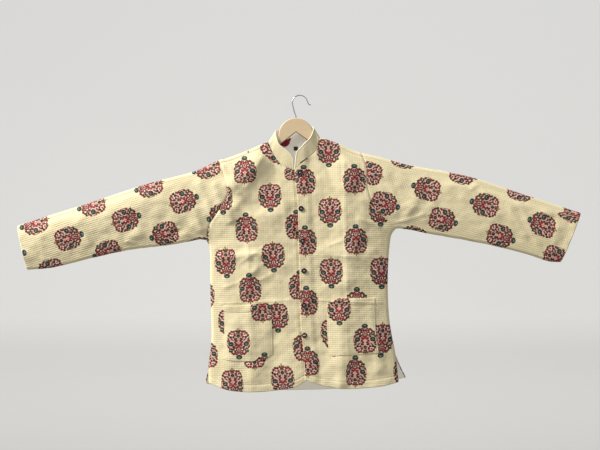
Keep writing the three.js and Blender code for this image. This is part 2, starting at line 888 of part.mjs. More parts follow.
// The wire hook: a round crown, a tip that turns out, and a stem down into the head's bore
function hook() {
  const { wire, radius, sides, steps, depth } = HOOK;
  const centre = { x: 0, z: wire - radius };
  const stations = [new THREE.Vector3(30, 0, -25), new THREE.Vector3(24.5, 0, -23)];
  for (let degrees = 10; degrees <= 200; degrees += 19) {
    const angle = THREE.MathUtils.degToRad(degrees);
    const x = centre.x + radius * Math.cos(angle);
    stations.push(new THREE.Vector3(x, 0, centre.z + radius * Math.sin(angle)));
  }
  const headTop = HANGER.headZ + HANGER.headRadius;
  stations.push(new THREE.Vector3(HANGER.headX - 4, 0, headTop + 16));
  stations.push(new THREE.Vector3(HANGER.headX, 0, headTop + 5));
  stations.push(new THREE.Vector3(HANGER.headX, 0, headTop - 8));
  stations.push(new THREE.Vector3(HANGER.headX, 0, headTop - depth + 1));
  const section = new THREE.Shape();
  section.absarc(0, 0, wire, 0, 2 * Math.PI);
  return new THREE.ExtrudeGeometry(section, {
    steps,
    curveSegments: sides,
    bevelEnabled: false,
    extrudePath: new THREE.CatmullRomCurve3(stations, false, "centripetal"),
  });
}

const MATERIALS = {
  cloth: new THREE.MeshStandardMaterial({ color: 0xe3d8b4, roughness: 0.9, metalness: 0 }),
  button: new THREE.MeshStandardMaterial({ color: 0x2a211d, roughness: 0.35, metalness: 0 }),
  label: new THREE.MeshStandardMaterial({ color: 0x18181a, roughness: 0.8, metalness: 0 }),
  wood: new THREE.MeshStandardMaterial({ color: 0xe0c79c, roughness: 0.5, metalness: 0 }),
  chrome: new THREE.MeshStandardMaterial({ color: 0xc9cccf, roughness: 0.2, metalness: 1 }),
};

const jacket = new THREE.Group();

function add(name, geometry, material) {
  const mesh = new THREE.Mesh(geometry, material);
  mesh.name = name;
  jacket.add(mesh);
  return mesh;
}

for (const side of ["right", "left"]) {
  const { outer, inner } = fronts[side];
  add(`front_${side}`, wallBody(outer, inner, keptRows), MATERIALS.cloth);
  add(`sleeve_${side}`, sleeve(side), MATERIALS.cloth);
  add(`pocket_${side}`, pocket(side), MATERIALS.cloth);
}
const backMesh = add("back", wallBody(back.outer, back.inner, keptRows), MATERIALS.cloth);
add("collar", collar(), MATERIALS.cloth);

const leftFront = jacket.getObjectByName("front_left");
BUTTON_PLACES.forEach(({ x, z }, i) => {
  const y = foremostUnder(leftFront.geometry, x, z, BUTTON.radius);
  const button = add(`button_${i + 1}`, buttonGeometry(), MATERIALS.button);
  button.position.set(x, y - BUTTON_CLEARANCE, z);
});

const labelY = foremostUnder(backMesh.geometry, LABEL.x, LABEL.z, LABEL.side / Math.SQRT2);
const label = new THREE.BoxGeometry(LABEL.side, LABEL.thick, LABEL.side);
const labelMesh = add("size_label", label, MATERIALS.label);
labelMesh.position.set(LABEL.x, labelY - SEAM - LABEL.thick / 2, LABEL.z);

add("hanger", hanger(), MATERIALS.wood);
add("hanger_hook", hook(), MATERIALS.chrome);

export default jacket;
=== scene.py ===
# The looks of a quilted cotton jacket on a wooden hanger. Tables and sizes are in millimetres.
# X runs across the garment, +Z is up and the front faces -Y. Right and left are the wearer's.
import math
import bpy
import numpy as np
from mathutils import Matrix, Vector
from mathutils.bvhtree import BVHTree


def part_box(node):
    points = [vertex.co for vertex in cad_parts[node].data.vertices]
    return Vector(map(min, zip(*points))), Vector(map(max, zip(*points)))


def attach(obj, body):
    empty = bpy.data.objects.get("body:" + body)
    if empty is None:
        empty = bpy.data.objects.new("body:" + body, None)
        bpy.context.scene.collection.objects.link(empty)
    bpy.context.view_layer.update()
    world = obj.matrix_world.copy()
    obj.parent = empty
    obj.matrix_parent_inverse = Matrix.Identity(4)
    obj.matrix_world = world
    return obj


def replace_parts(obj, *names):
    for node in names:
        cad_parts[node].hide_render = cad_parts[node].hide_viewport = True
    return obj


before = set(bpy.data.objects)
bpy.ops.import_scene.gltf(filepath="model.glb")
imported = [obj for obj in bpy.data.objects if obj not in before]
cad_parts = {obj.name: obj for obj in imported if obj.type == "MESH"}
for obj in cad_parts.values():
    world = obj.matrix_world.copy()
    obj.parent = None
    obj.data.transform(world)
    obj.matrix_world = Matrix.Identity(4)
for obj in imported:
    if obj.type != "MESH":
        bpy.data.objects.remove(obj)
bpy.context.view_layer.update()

MM = 0.001

# The cloth's sizes. Those of the wall, roll, bulge and lap are the solids' own.
WALL = 2.4
SEAM = 0.3
ROLL = 10.0
BULGE = 11.0
BULGE_REACH = 70.0
ROUND_FROM = (60.0, 150.0)  # between these x the bulge turns to a rounder one than the solids'
LAP = 22.0
LAP_FADE = 18.0
LAP_CLEARANCE = 0.8
POCKET_WALL = 1.2
CURVE_STEPS = 8
NECK_SHARE = 0.54
SIDE_SHARE = 0.63
BACK_NECK_SHARES = (0.32, 0.68)
FOLD_FADE = 26.0

# About what the pieces measure, by which distances along and across them are told
FRONT_WIDTH = 250.0
FRONT_GRID = 260.0
BACK_WIDTH = 520.0
BODY_LENGTH = 600.0
SLEEVE_LENGTH = 560.0
SLEEVE_WIDTH = 205.0
POCKET_WIDTH = 135.0
POCKET_HEIGHT = 150.0
COLLAR_HEIGHT = 40.0

# The real quilting
ROW_PITCH = 5.4  # between two rows of running stitch
ROW_PUFF = 0.5  # how far the cloth stands up between two rows
STITCH_PITCH = 4.6  # between two stitches of a row

# The fine grids
ROW_STEP = ROW_PITCH / 4
COLUMN_STEP = 4.2
SLEEVE_STEP = 6.0
EDGE_STEPS = (0.0, 0.5, 1.3, 2.6, 4.2)
CLOSEST = 0.35  # between two lines of a grid


def table(columns, rows):
    """Rows of numbers or words under their column names."""
    names = columns.split()
    return [dict(zip(names, row)) for row in rows]


OUTLINE = {
    "right": {
        "sleeve_top": [
            (-764, -352), (-675, -323), (-594, -298), (-521, -274), (-405, -236), (-284, -204), (-219, -174),
        ],
        "shoulder": [(-219, -174), (-189, -166), (-140, -147), (-103, -131), (-86, -125)],
        "sleeve_under": [
            (-737, -471), (-675, -466), (-562, -439), (-459, -417),
            (-351, -404), (-297, -394), (-272, -389), (-255, -392),
        ],
        "side": [(-255, -392), (-247, -403), (-244, -430), (-243, -525), (-240, -660), (-248, -733)],
        "armhole": [(-255, -392), (-245, -352), (-216, -306), (-195, -264), (-203, -225), (-219, -174)],
        "neck": [(-86, -125), (-76, -150), (-57, -180), (-40, -193), (-17, -201), (6, -204)],
        "hem": [
            (-247, -776), (-202, -792), (-162, -798), (-108, -798), (-54, -793),
            (-19, -787), (0, -779), (14, -769), (34, -757),
        ],
        "back_corner": (-256, -779),
    },
    "left": {
        "sleeve_top": [
            (759, -317), (702, -298), (594, -263), (473, -223),
            (405, -207), (297, -188), (216, -166), (167, -155),
        ],
        "shoulder": [(167, -155), (135, -144), (108, -131), (76, -119), (54, -112)],
        "sleeve_under": [
            (705, -450), (675, -449), (621, -431), (540, -410),
            (459, -393), (351, -374), (284, -361), (260, -361),
        ],
        "side": [(260, -361), (248, -376), (243, -404), (238, -485), (240, -579), (246, -633), (259, -701)],
        "armhole": [
            (260, -361), (243, -343), (212, -317), (192, -282), (182, -245), (178, -192), (167, -155),
        ],
        "neck": [(54, -112), (49, -131), (43, -150), (27, -166), (13, -177), (-14, -200)],
        "hem": [(267, -774), (216, -784), (121, -790), (81, -785), (54, -779), (32, -772), (14, -765)],
        "back_corner": (286, -763),
    },
}
BACK_NECK = [(-86, -125), (-60, -134), (-16, -138), (28, -127), (54, -112)]
BACK_HEM = [(-256, -779), (-189, -794), (-108, -799), (0, -799), (121, -795), (216, -783), (286, -763)]
FRONT_EDGE = [(14, -765), (12, -709), (4, -639), (1, -552), (-3, -390), (-7, -277), (-14, -200)]
# The collar's top edge as x, z and y
COLLAR_TOP = {
    "right": [
        (-20, -172, -19), (-26, -161, -19), (-40, -147, -18), (-57, -133, -16),
        (-64, -115, -12), (-67, -102, -6), (-67, -96, 0),
    ],
    "back": [
        (-67, -96, 0), (-63, -93, 8), (-46, -95, 16), (-16, -98, 19),
        (16, -92, 15), (31, -86, 8), (36, -84, 0),
    ],
    "left": [(36, -84, 0), (37, -90, -7), (34, -103, -14), (27, -117, -18), (13, -131, -20), (-9, -154, -21)],
}

# Soft ridges, or troughs below zero, along lines on each face, the same as the solids'
CREASES = {
    "front": table("x1 z1 x2 z2 width height", [
        (-103, -180, -190, -325, 17, 3.2), (-60, -215, -150, -370, 20, -2.2),
        (-122, -425, -205, -440, 16, 2.6), (-138, -400, -140, -560, 18, -1.8),
        (122, -210, 127, -770, 18, -2.0), (70, -420, 200, -428, 16, 1.6), (60, -548, 225, -556, 16, 1.4),
        (180, -290, 150, -420, 16, 2.4), (-180, -620, -190, -790, 22, 3.0),
        (-60, -640, -75, -790, 24, -2.6), (200, -620, 215, -780, 22, 2.6),
        (-675, -335, -351, -232, 13, 3.0), (-312, -290, -264, -366, 13, 3.6),
        (-345, -395, -300, -330, 14, -2.4), (-462, -395, -435, -375, 14, 2.4),
        (284, -325, 312, -290, 13, 3.4), (300, -276, 372, -306, 14, -2.6), (440, -275, 560, -330, 14, 2.2),
    ]),
    "back": table("x1 z1 x2 z2 width height", [
        (-150, -210, -215, -330, 18, 3.0), (-70, -260, -80, -700, 24, -2.6),
        (120, -215, 190, -320, 18, 3.0), (60, -330, 70, -740, 24, 2.4), (-180, -560, -170, -780, 22, 2.6),
        (185, -520, 200, -770, 22, -2.4), (-640, -350, -380, -270, 14, 2.6),
        (-310, -300, -270, -365, 13, 3.2), (280, -330, 320, -280, 13, 3.2), (420, -290, 640, -370, 14, 2.2),
    ]),
}
# Finer creases, which only the cloth here has: pressed lines and the wrinkles round them
FINE_CREASES = {
    "front": table("x1 z1 x2 z2 width height", [
        (119, -180, 126, -500, 4, 0.7), (126, -500, 129, -778, 4, 0.6), (110, -190, 116, -520, 5, -0.5),
        (-140, -395, -136, -550, 4, 1.2), (-100, -410, -160, -452, 5, 0.9),
        (-128, -438, -108, -462, 4, -0.8), (-90, -424, -214, -430, 3, 0.5), (40, -431, 225, -437, 3, 0.5),
        (45, -552, 225, -560, 3, 0.8), (-215, -562, -30, -552, 3, 0.7), (-210, -190, -165, -262, 7, 1.8),
        (-185, -180, -150, -240, 6, -1.4), (-95, -150, -120, -205, 6, 1.3), (95, -135, 150, -205, 8, 1.6),
        (60, -160, 95, -260, 9, -1.2), (-270, -240, -235, -330, 8, 2.0), (-290, -350, -245, -385, 6, 1.6),
        (-410, -250, -330, -300, 9, 1.6), (-560, -300, -470, -395, 8, 1.2),
        (-640, -370, -600, -440, 8, -1.2), (-700, -350, -690, -440, 7, 0.9), (235, -215, 260, -300, 8, 1.7),
        (262, -345, 330, -322, 6, 1.8), (355, -205, 345, -290, 8, -1.3), (470, -235, 500, -262, 5, 1.6),
        (505, -250, 540, -262, 5, -1.2), (590, -290, 640, -400, 8, 1.2), (700, -315, 680, -420, 7, 0.9),
    ]),
    "back": table("x1 z1 x2 z2 width height", [
        (-6, -180, -4, -780, 4, 1.2), (-210, -430, 210, -436, 3, 0.9), (-215, -560, 215, -566, 3, 0.8),
        (-200, -200, -140, -300, 8, 1.7), (150, -190, 100, -290, 8, 1.6), (-560, -310, -480, -390, 8, 1.3),
        (520, -270, 580, -370, 8, 1.3), (300, -230, 380, -300, 9, -1.4), (-420, -270, -350, -330, 9, -1.4),
    ]),
}
# Pressed creases: a ridge with one flank towards the light, from above on the right sleeve's side,
# and one away from it, each with its own width
PRESSED = {
    "front": table("x1 z1 x2 z2 lit shade height", [
        (-100, -156, -192, -264, 34, 28, 7.2), (-200, -300, -180, -345, 12, 16, 2.4),
        (-150, -336, -25, -316, 26, 38, 4.0), (-144, -385, -140, -545, 20, 24, 3.2),
        (-140, -545, -128, -800, 18, 26, 2.8), (-237, -441, -86, -424, 10, 10, 1.3),
        (-146, -493, -84, -442, 8, 10, 1.0), (-130, -484, -100, -426, 24, 12, 3.0),
        (-120, -505, -70, -478, 7, 8, 1.1), (-210, -520, -150, -500, 7, 8, 1.2),
        (118, -165, 130, -545, 29, 40, 6.6), (122, -547, 110, -800, 27, 38, 6.2),
        (49, -424, 238, -452, 10, 10, 0.9), (72, -408, 122, -388, 7, 7, 1.1),
        (60, -300, 120, -312, 9, 8, 1.3), (150, -330, 222, -356, 10, 9, 1.6),
        (246, -324, 302, -284, 8, 10, 1.2), (-256, -376, -226, -420, 7, 8, 2.2),
        (-232, -230, -206, -330, 9, 12, 2.2), (-745, -391, -349, -272, 44, 24, 3.6),
        (-286, -300, -262, -372, 10, 12, 1.7), (-330, -352, -286, -392, 7, 8, 1.8),
        (-470, -392, -440, -402, 5, 6, 1.6), (-600, -330, -560, -410, 10, 10, 1.2),
        (290, -268, 372, -306, 6, 6, 1.2), (458, -258, 482, -232, 6, 6, 1.8),
        (284, -325, 312, -296, 5, 6, 0.9), (380, -230, 700, -330, 14, 24, 2.0),
        (560, -300, 610, -385, 9, 10, 1.4),
    ]),
    "back": table("x1 z1 x2 z2 lit shade height", [
        (-130, -150, -200, -300, 14, 26, 3.8), (120, -150, 195, -290, 22, 14, 3.4),
        (-150, -330, 140, -345, 20, 14, 2.6), (-126, -200, -130, -790, 20, 15, 3.0),
        (122, -210, 128, -790, 20, 15, 3.2), (-235, -440, 235, -446, 9, 8, 1.5),
        (-80, -500, 60, -470, 8, 9, 1.6), (-660, -335, -350, -232, 10, 24, 2.4),
        (370, -230, 690, -330, 12, 24, 2.2), (-310, -290, -264, -372, 8, 10, 2.4),
        (262, -345, 318, -292, 8, 9, 2.4),
    ]),
}
PRESS = 1.5  # how strongly the pressed creases stand up
SMALL_WRINKLES = 0.35  # height of the cloth's short uneven waves


def catmull(rows):
    """Points of a centripetal spline through the rows, CURVE_STEPS to each span."""
    p = np.array(rows, float)
    p = np.vstack([2 * p[0] - p[1], p, 2 * p[-1] - p[-2]])
    out = []
    for i in range(1, len(p) - 2):
        d0, d1, d2 = (max(np.linalg.norm(p[i + k] - p[i + k - 1]) ** 0.5, 1e-4) for k in range(3))
        a, b = p[i], p[i + 1]
        start = ((a - p[i - 1]) / d0 - (b - p[i - 1]) / (d0 + d1) + (b - a) / d1) * d1
        end = ((b - a) / d1 - (p[i + 2] - a) / (d1 + d2) + (p[i + 2] - b) / d2) * d1
        t = (np.arange(CURVE_STEPS) / CURVE_STEPS)[:, None]
        c2 = 3 * (b - a) - 2 * start - end
        c3 = 2 * (a - b) + start + end
        out.append(a + t * start + t**2 * c2 + t**3 * c3)
    out.append(p[-2][None])
    return np.vstack(out)


def catmull_parts(*tables):
    """Tables that share their end rows, smoothed as one curve and cut at those rows again."""
    rows = list(tables[0])
    for part in tables[1:]:
        rows += part[1:]
    points, pieces, start = catmull(rows), [], 0
    for part in tables:
        end = start + (len(part) - 1) * CURVE_STEPS
        pieces.append(points[start:end + 1])
        start = end
    return pieces


def lengths_of(points):
    """The length along a line of points, up to each of them."""
    return np.concatenate([[0.0], np.cumsum(np.linalg.norm(np.diff(points, axis=0), axis=1))])


class Line:
    """A line of points that gives the point at any share of its length."""

    def __init__(self, points):
        self.points = np.asarray(points, float)
        self.lengths = lengths_of(self.points)
        self.length = self.lengths[-1]

    def __call__(self, share):
        wanted = np.clip(np.asarray(share, float), 0, 1) * self.length
        columns = [np.interp(wanted, self.lengths, column) for column in self.points.T]
        return np.stack(columns, axis=-1)

    def reversed(self):
        return Line(self.points[::-1])


def in_turn(first, second, share):
    """Two lines end to end, the first up to a share of the way."""
    def at(t):
        t = np.asarray(t, float)
        low = first(np.minimum(t / share, 1))
        high = second(np.maximum(t - share, 0) / (1 - share))
        return np.where((t < share)[..., None], low, high)
    return at


def smoothstep(value, low, high):
    t = np.clip((value - low) / (high - low), 0, 1)
    return t * t * (3 - 2 * t)


def outline_of(side):
    rows = OUTLINE[side]
    top, shoulder = catmull_parts(rows["sleeve_top"], rows["shoulder"])
    under, front = catmull_parts(rows["sleeve_under"], rows["side"] + [rows["hem"][0]])
    back = catmull_parts(rows["sleeve_under"], rows["side"] + [rows["back_corner"]])[1]
    return {
        "sleeve_top": top, "shoulder": shoulder, "sleeve_under": under,
        "front": front, "back": back, "armhole": catmull(rows["armhole"]),
    }


SIDES = {side: outline_of(side) for side in ("right", "left")}
CHAINS = {face: [] for face in ("front", "back")}
for face, chains in CHAINS.items():
    for side, turn in (("right", 1.0), ("left", -1.0)):
        o = SIDES[side]
        chains.append((np.vstack([o["sleeve_top"], o["shoulder"][1:]]), -turn))
        chains.append((np.vstack([o["sleeve_under"], o[face][1:]]), turn))


def nearest_on(points, turn, x, z):
    """Distance to a chain from each place, and the chain's inward direction there."""
    a, d = points[:-1], np.diff(points, axis=0)
    length = np.linalg.norm(d, axis=1)
    ax, az, dx, dz = a[:, 0], a[:, 1], d[:, 0], d[:, 1]
    t = np.clip(((x[:, None] - ax) * dx + (z[:, None] - az) * dz) / length**2, 0, 1)
    far = np.hypot(x[:, None] - ax - t * dx, z[:, None] - az - t * dz)
    best = far.argmin(axis=1)
    rows = np.arange(len(x))
    return far[rows, best], -dz[best] / length[best] * turn, dx[best] / length[best] * turn


def by_line(crease, x, z):
    """Places beside a crease's line: the share along it, the distance across it and its length."""
    dx, dz = crease["x2"] - crease["x1"], crease["z2"] - crease["z1"]
    length = math.hypot(dx, dz)
    share = ((x - crease["x1"]) * dx + (z - crease["z1"]) * dz) / length**2
    across = ((x - crease["x1"]) * dz - (z - crease["z1"]) * dx) / length
    return share, across, length


def crease_height(creases, x, z):
    height = np.zeros_like(x)
    for c in creases:
        share, across, length = by_line(c, x, z)
        far = np.hypot(across, (share - np.clip(share, 0, 1)) * length)
        height += c["height"] * np.exp(-((far / c["width"]) ** 2))
    return height


def pressed_height(face, x, z):
    """The pressed creases, with soft tops and a long slope to each side."""
    height = np.zeros_like(x)
    for c in PRESSED[face]:
        share, across, _ = by_line(c, x, z)
        lit_side = 1 if c["x2"] - c["x1"] + c["z2"] - c["z1"] < 0 else -1
        width = np.where(across * lit_side > 0, c["lit"], c["shade"])
        fade = smoothstep(share, -0.04, 0.14) * smoothstep(1.04 - share, 0, 0.18)
        height += PRESS * c["height"] * np.exp(1 - np.sqrt(1 + (across / width) ** 2 * 3)) * fade
    return height


def wander(x, z, seed, waves=14, shortest=35.0, longest=150.0):
    """A smooth uneven height about 1 high, from waves in all directions."""
    draw = np.random.default_rng(seed)
    height = np.zeros_like(x)
    for _ in range(waves):
        angle, phase = draw.uniform(0, 2 * math.pi, 2)
        wave = 2 * math.pi / draw.uniform(shortest, longest)
        height += np.sin(wave * (x * math.cos(angle) + z * math.sin(angle)) + phase)
    return height / math.sqrt(waves)


FACE_SEEDS = {"front": 11, "back": 23}
UNEVEN = 0.9  # height of the cloth's uneven lie
CHUNK = 20000  # places worked out at a time, to save memory


def cloth_at(face, x, z):
    """The cloth over places of the outline's plane: height, lean, and inward direction of the outline."""
    shape = x.shape
    x, z = x.ravel(), z.ravel()
    total, nearest = np.zeros_like(x), np.full_like(x, np.inf)
    nx, nz = np.zeros_like(x), np.zeros_like(x)
    for start in range(0, len(x), CHUNK):
        part = slice(start, start + CHUNK)
        for points, turn in CHAINS[face]:
            far, inx, inz = nearest_on(points, turn, x[part], z[part])
            total[part] += np.maximum(far, 1e-6) ** -3.0
            closer = far < nearest[part]
            nearest[part] = np.where(closer, far, nearest[part])
            nx[part] = np.where(closer, inx, nx[part])
            nz[part] = np.where(closer, inz, nz[part])
    inside = total ** (-1 / 3)
    lean = np.maximum(0, 1 - inside / ROLL)
    upright = np.sqrt(1 - lean**2)
    beyond = np.maximum(0, inside - ROLL) / BULGE_REACH
    grown = smoothstep(inside, ROLL, ROLL + FOLD_FADE)
    folds = crease_height(CREASES[face], x, z) * grown
    folds += crease_height(FINE_CREASES[face], x, z) * smoothstep(inside, ROLL, ROLL + 12)
    folds += pressed_height(face, x, z) * smoothstep(inside, ROLL * 0.6, ROLL + 14)
    folds += UNEVEN * wander(x, z, FACE_SEEDS[face]) * grown
    folds += SMALL_WRINKLES * wander(x, z, FACE_SEEDS[face] + 1, waves=18, shortest=14, longest=42) * grown
    round_edge = smoothstep(np.abs(x), *ROUND_FROM)
    flatter = np.exp(-(beyond**2)) * (1 - round_edge) + np.exp(-1.5 * beyond) * round_edge
    height = ROLL * upright + BULGE * (1 - flatter) + folds
    found = {"height": height, "lean": lean, "upright": upright, "nx": nx, "nz": nz}
    return {name: value.reshape(shape) for name, value in found.items()}


def wall_points(face, flat, cloth, offset):
    """Points at an offset from the cloth's outer side, as x, y and z."""
    height = np.maximum(cloth["height"] + offset * cloth["upright"], SEAM / 2)
    x = flat[..., 0] - offset * cloth["lean"] * cloth["nx"]
    z = flat[..., 1] - offset * cloth["lean"] * cloth["nz"]
    return np.stack([x, -height if face == "front" else height, z], axis=-1)


def unrolled(flat, cloth):
    """The places in the cut cloth: the rolled edge laid out flat."""
    lean = cloth["lean"]
    arc = ROLL * np.arccos(np.clip(lean, 0, 1))
    spare = np.where(lean > 0, ROLL * (math.pi / 2 - 1) - (arc - ROLL * (1 - lean)), 0)
    out = flat.copy()
    out[..., 0] -= spare * cloth["nx"]
    out[..., 1] -= spare * cloth["nz"]
    return out


def patch(bottom, top, start, end, u, v):
    """A four-sided patch between its edge lines at all pairs of the shares u and v, rows first."""
    u_row, v_col = u[None, :, None], v[:, None, None]
    across = bottom(u)[None] * (1 - v_col) + top(u)[None] * v_col
    up = start(v)[:, None] * (1 - u_row) + end(v)[:, None] * u_row
    low = bottom(0.0) * (1 - u_row) + bottom(1.0) * u_row
    high = top(0.0) * (1 - u_row) + top(1.0) * u_row
    return across + up - low * (1 - v_col) - high * v_col


def shares(length, step, fixed=()):
    """Even shares of a length in about that step, finer at the ends and through the fixed shares."""
    points = set(np.round(np.linspace(0, 1, max(2, round(length / step)) + 1), 6))
    edge = {round(e / length, 6) for e in EDGE_STEPS}
    ordered = sorted(points | edge | {round(1 - e, 6) for e in edge})
    kept = [ordered[0]]
    for p in ordered[1:]:
        if p - kept[-1] > CLOSEST / length:
            kept.append(p)
    kept[-1] = 1.0
    array = np.array(kept)
    for share in fixed:
        array[np.abs(array - share).argmin()] = share
    return array


EDGE_LINE = np.array(FRONT_EDGE, float)


def edge_x(z):
    return np.interp(z, EDGE_LINE[:, 1], EDGE_LINE[:, 0])


def lap_rise(flat):
    from_edge = flat[..., 0] - edge_x(flat[..., 1])
    return (WALL + LAP_CLEARANCE) * (1 - smoothstep(from_edge, LAP + 2, LAP + 2 + LAP_FADE))


def quilt(distance):
    """The height of the cloth between rows of stitching, from the distance across the rows."""
    phase = distance / ROW_PITCH
    return ROW_PUFF * (np.abs(np.sin(math.pi * phase)) ** 0.8 - 0.6)


def rounded_edge(distance, radius=0.9):
    """How far the outer side drops at a raw edge, from the distance to it."""
    d = np.clip(distance / radius, 0, 1)
    return -radius * (1 - np.sqrt(1 - (1 - d) ** 2))


def groove(distance, depth, width):
    return -depth * np.exp(-((distance / width) ** 2))


def line_distance(points, flat):
    """Distance from each place to a line of points."""
    x, z = flat[..., 0].ravel(), flat[..., 1].ravel()
    far = np.concatenate([
        nearest_on(points, 1.0, x[s:s + CHUNK], z[s:s + CHUNK])[0] for s in range(0, len(x), CHUNK)
    ])
    return far.reshape(flat.shape[:-1])


# How the print lies on each piece: the middle of one motif, the tilt of its axis from upright in
# degrees, whether that motif points up (1) or down (-1), a share of the repeat that moves the next
# columns lower, and how the columns bend aside towards their low end
PRINT = {row["piece"]: row for row in table("piece x z tilt points odd bend", [
    ("front_right", -144, -361.6, 3.2, 1, 0.50, 0.0),
    ("front_left", 14, -396, 1.2, 1, 0.53, 0.0),
    ("back", 12, -410, 0.8, 1, 0.50, 0.0),
    ("sleeve_right", -470, -336.4, -72.0, 1, 0.48, 0.0),
    ("sleeve_left", 500, -297, 74.6, 1, 0.40, 0.00039),
    ("pocket_right", -165, -666, 2.5, -1, 0.417, 0.0),
    ("pocket_left", 105, -574, 1.2, -1, 0.50, 0.0),
    ("collar", 30, -330, 40.0, 1, 0.50, 0.0),
])}
# Where the cloth was eased and the print lies lower or aside. Each slip grows between two places
# across the columns and two places along them, all measured from the piece's motif in PRINT.
SLIPS = table("piece across1 across2 along1 along2 drop aside", [
    ("front_left", 40, 136, -21, -345, 25, 0),
    ("front_left", 20, 50, -250, -340, 22, 0),
    ("front_left", 90, 120, -250, -340, -17, -10),
    ("front_right", -20, -45, 0, -55, 9, 8.5),
    ("front_right", -20, -45, -25, 30, 0, 8.5),
    ("front_right", -45, -25, -200, -290, 15, 2),
    ("front_right", 20, 45, -200, -290, -15, 0),
    ("front_right", 20, 45, -330, -400, 9, 5),
    ("front_right", -110, -90, 90, 160, 10, 5),
    ("front_right", 36, 74, 126, 196, 29, 4),
    ("sleeve_left", 28, 42, 400, 300, 21, 0),
])
COLUMN_PITCH = 68.0
MOTIF_PITCH = 162.5
ODD_SHIFT = 0.46  # share of the repeat by which the odd columns of the pattern stand lower
# Where the cloth turns over the shoulder beside the collar, the print lies aslant: the middle and
# tilt of a motif there, the line over which this holds, and how much longer its upper half is
ASLANT = {
    "piece": "front_right", "x": -61.0, "z": -151.0, "tilt": 52.0,
    "line": [(-143.0, -163.0), (-50.0, -198.0)], "longer": 1.4,
}


def by_axis(cut, middle):
    """Distances of cut places from a middle, across and along a tilted axis."""
    angle = math.radians(middle["tilt"])
    x, z = cut[..., 0] - middle["x"], cut[..., 1] - middle["z"]
    return x * math.cos(angle) + z * math.sin(angle), -x * math.sin(angle) + z * math.cos(angle)


def print_places(name, cut):
    """Print coordinates of cut places: the columns run along the second one."""
    p = PRINT[name]
    first_across, first_along = by_axis(cut, p)
    across = first_across + p["bend"] * np.minimum(first_along, 0) ** 2
    along = first_along
    for slip in (row for row in SLIPS if row["piece"] == name):
        share = smoothstep(first_across, slip["across1"], slip["across2"])
        share = share * smoothstep(first_along, slip["along1"], slip["along2"])
        along = along + slip["drop"] * share
        across = across - slip["aside"] * share
    odd_column = np.abs((across / COLUMN_PITCH + 1) % 2 - 1)
    along = along + (p["odd"] - 0.5) * MOTIF_PITCH * smoothstep(odd_column, 0.38, 0.62)
    places = np.stack([across, along], axis=-1) * p["points"]
    return aslant_places(cut, places) if name == ASLANT["piece"] else places


def aslant_places(cut, places):
    """The places with those over the shoulder laid aslant, round a motif of an odd column."""
    (x1, z1), (x2, z2) = ASLANT["line"]
    line = z1 + (z2 - z1) * (cut[..., 0] - x1) / (x2 - x1)
    over = (cut[..., 1] > line) & (cut[..., 0] > x1) & (cut[..., 0] < x2)
    across, along = by_axis(cut, ASLANT)
    along = np.where(along > 0, along / ASLANT["longer"], along)
    aslant = np.stack([across + COLUMN_PITCH, along + (2 - ODD_SHIFT) * MOTIF_PITCH], axis=-1)
    return np.where(over[..., None], aslant, places)


def chart(cut, low, high):
    """Cut places spread over a part of the square that is baked."""
    span = cut.reshape(-1, 2)
    lo, hi = span.min(axis=0), span.max(axis=0)
    return np.array(low) + (cut - lo) / (hi - lo) * (np.array(high) - np.array(low))


OUTER_CHART = ((0.01, 0.01), (0.72, 0.99))
INNER_CHART = ((0.74, 0.01), (0.99, 0.99))
CLOTH, LINING = 0, 1


def linked(name, data):
    """A new object in the scene."""
    made = bpy.data.objects.new(name, data)
    bpy.context.scene.collection.objects.link(made)
    return made


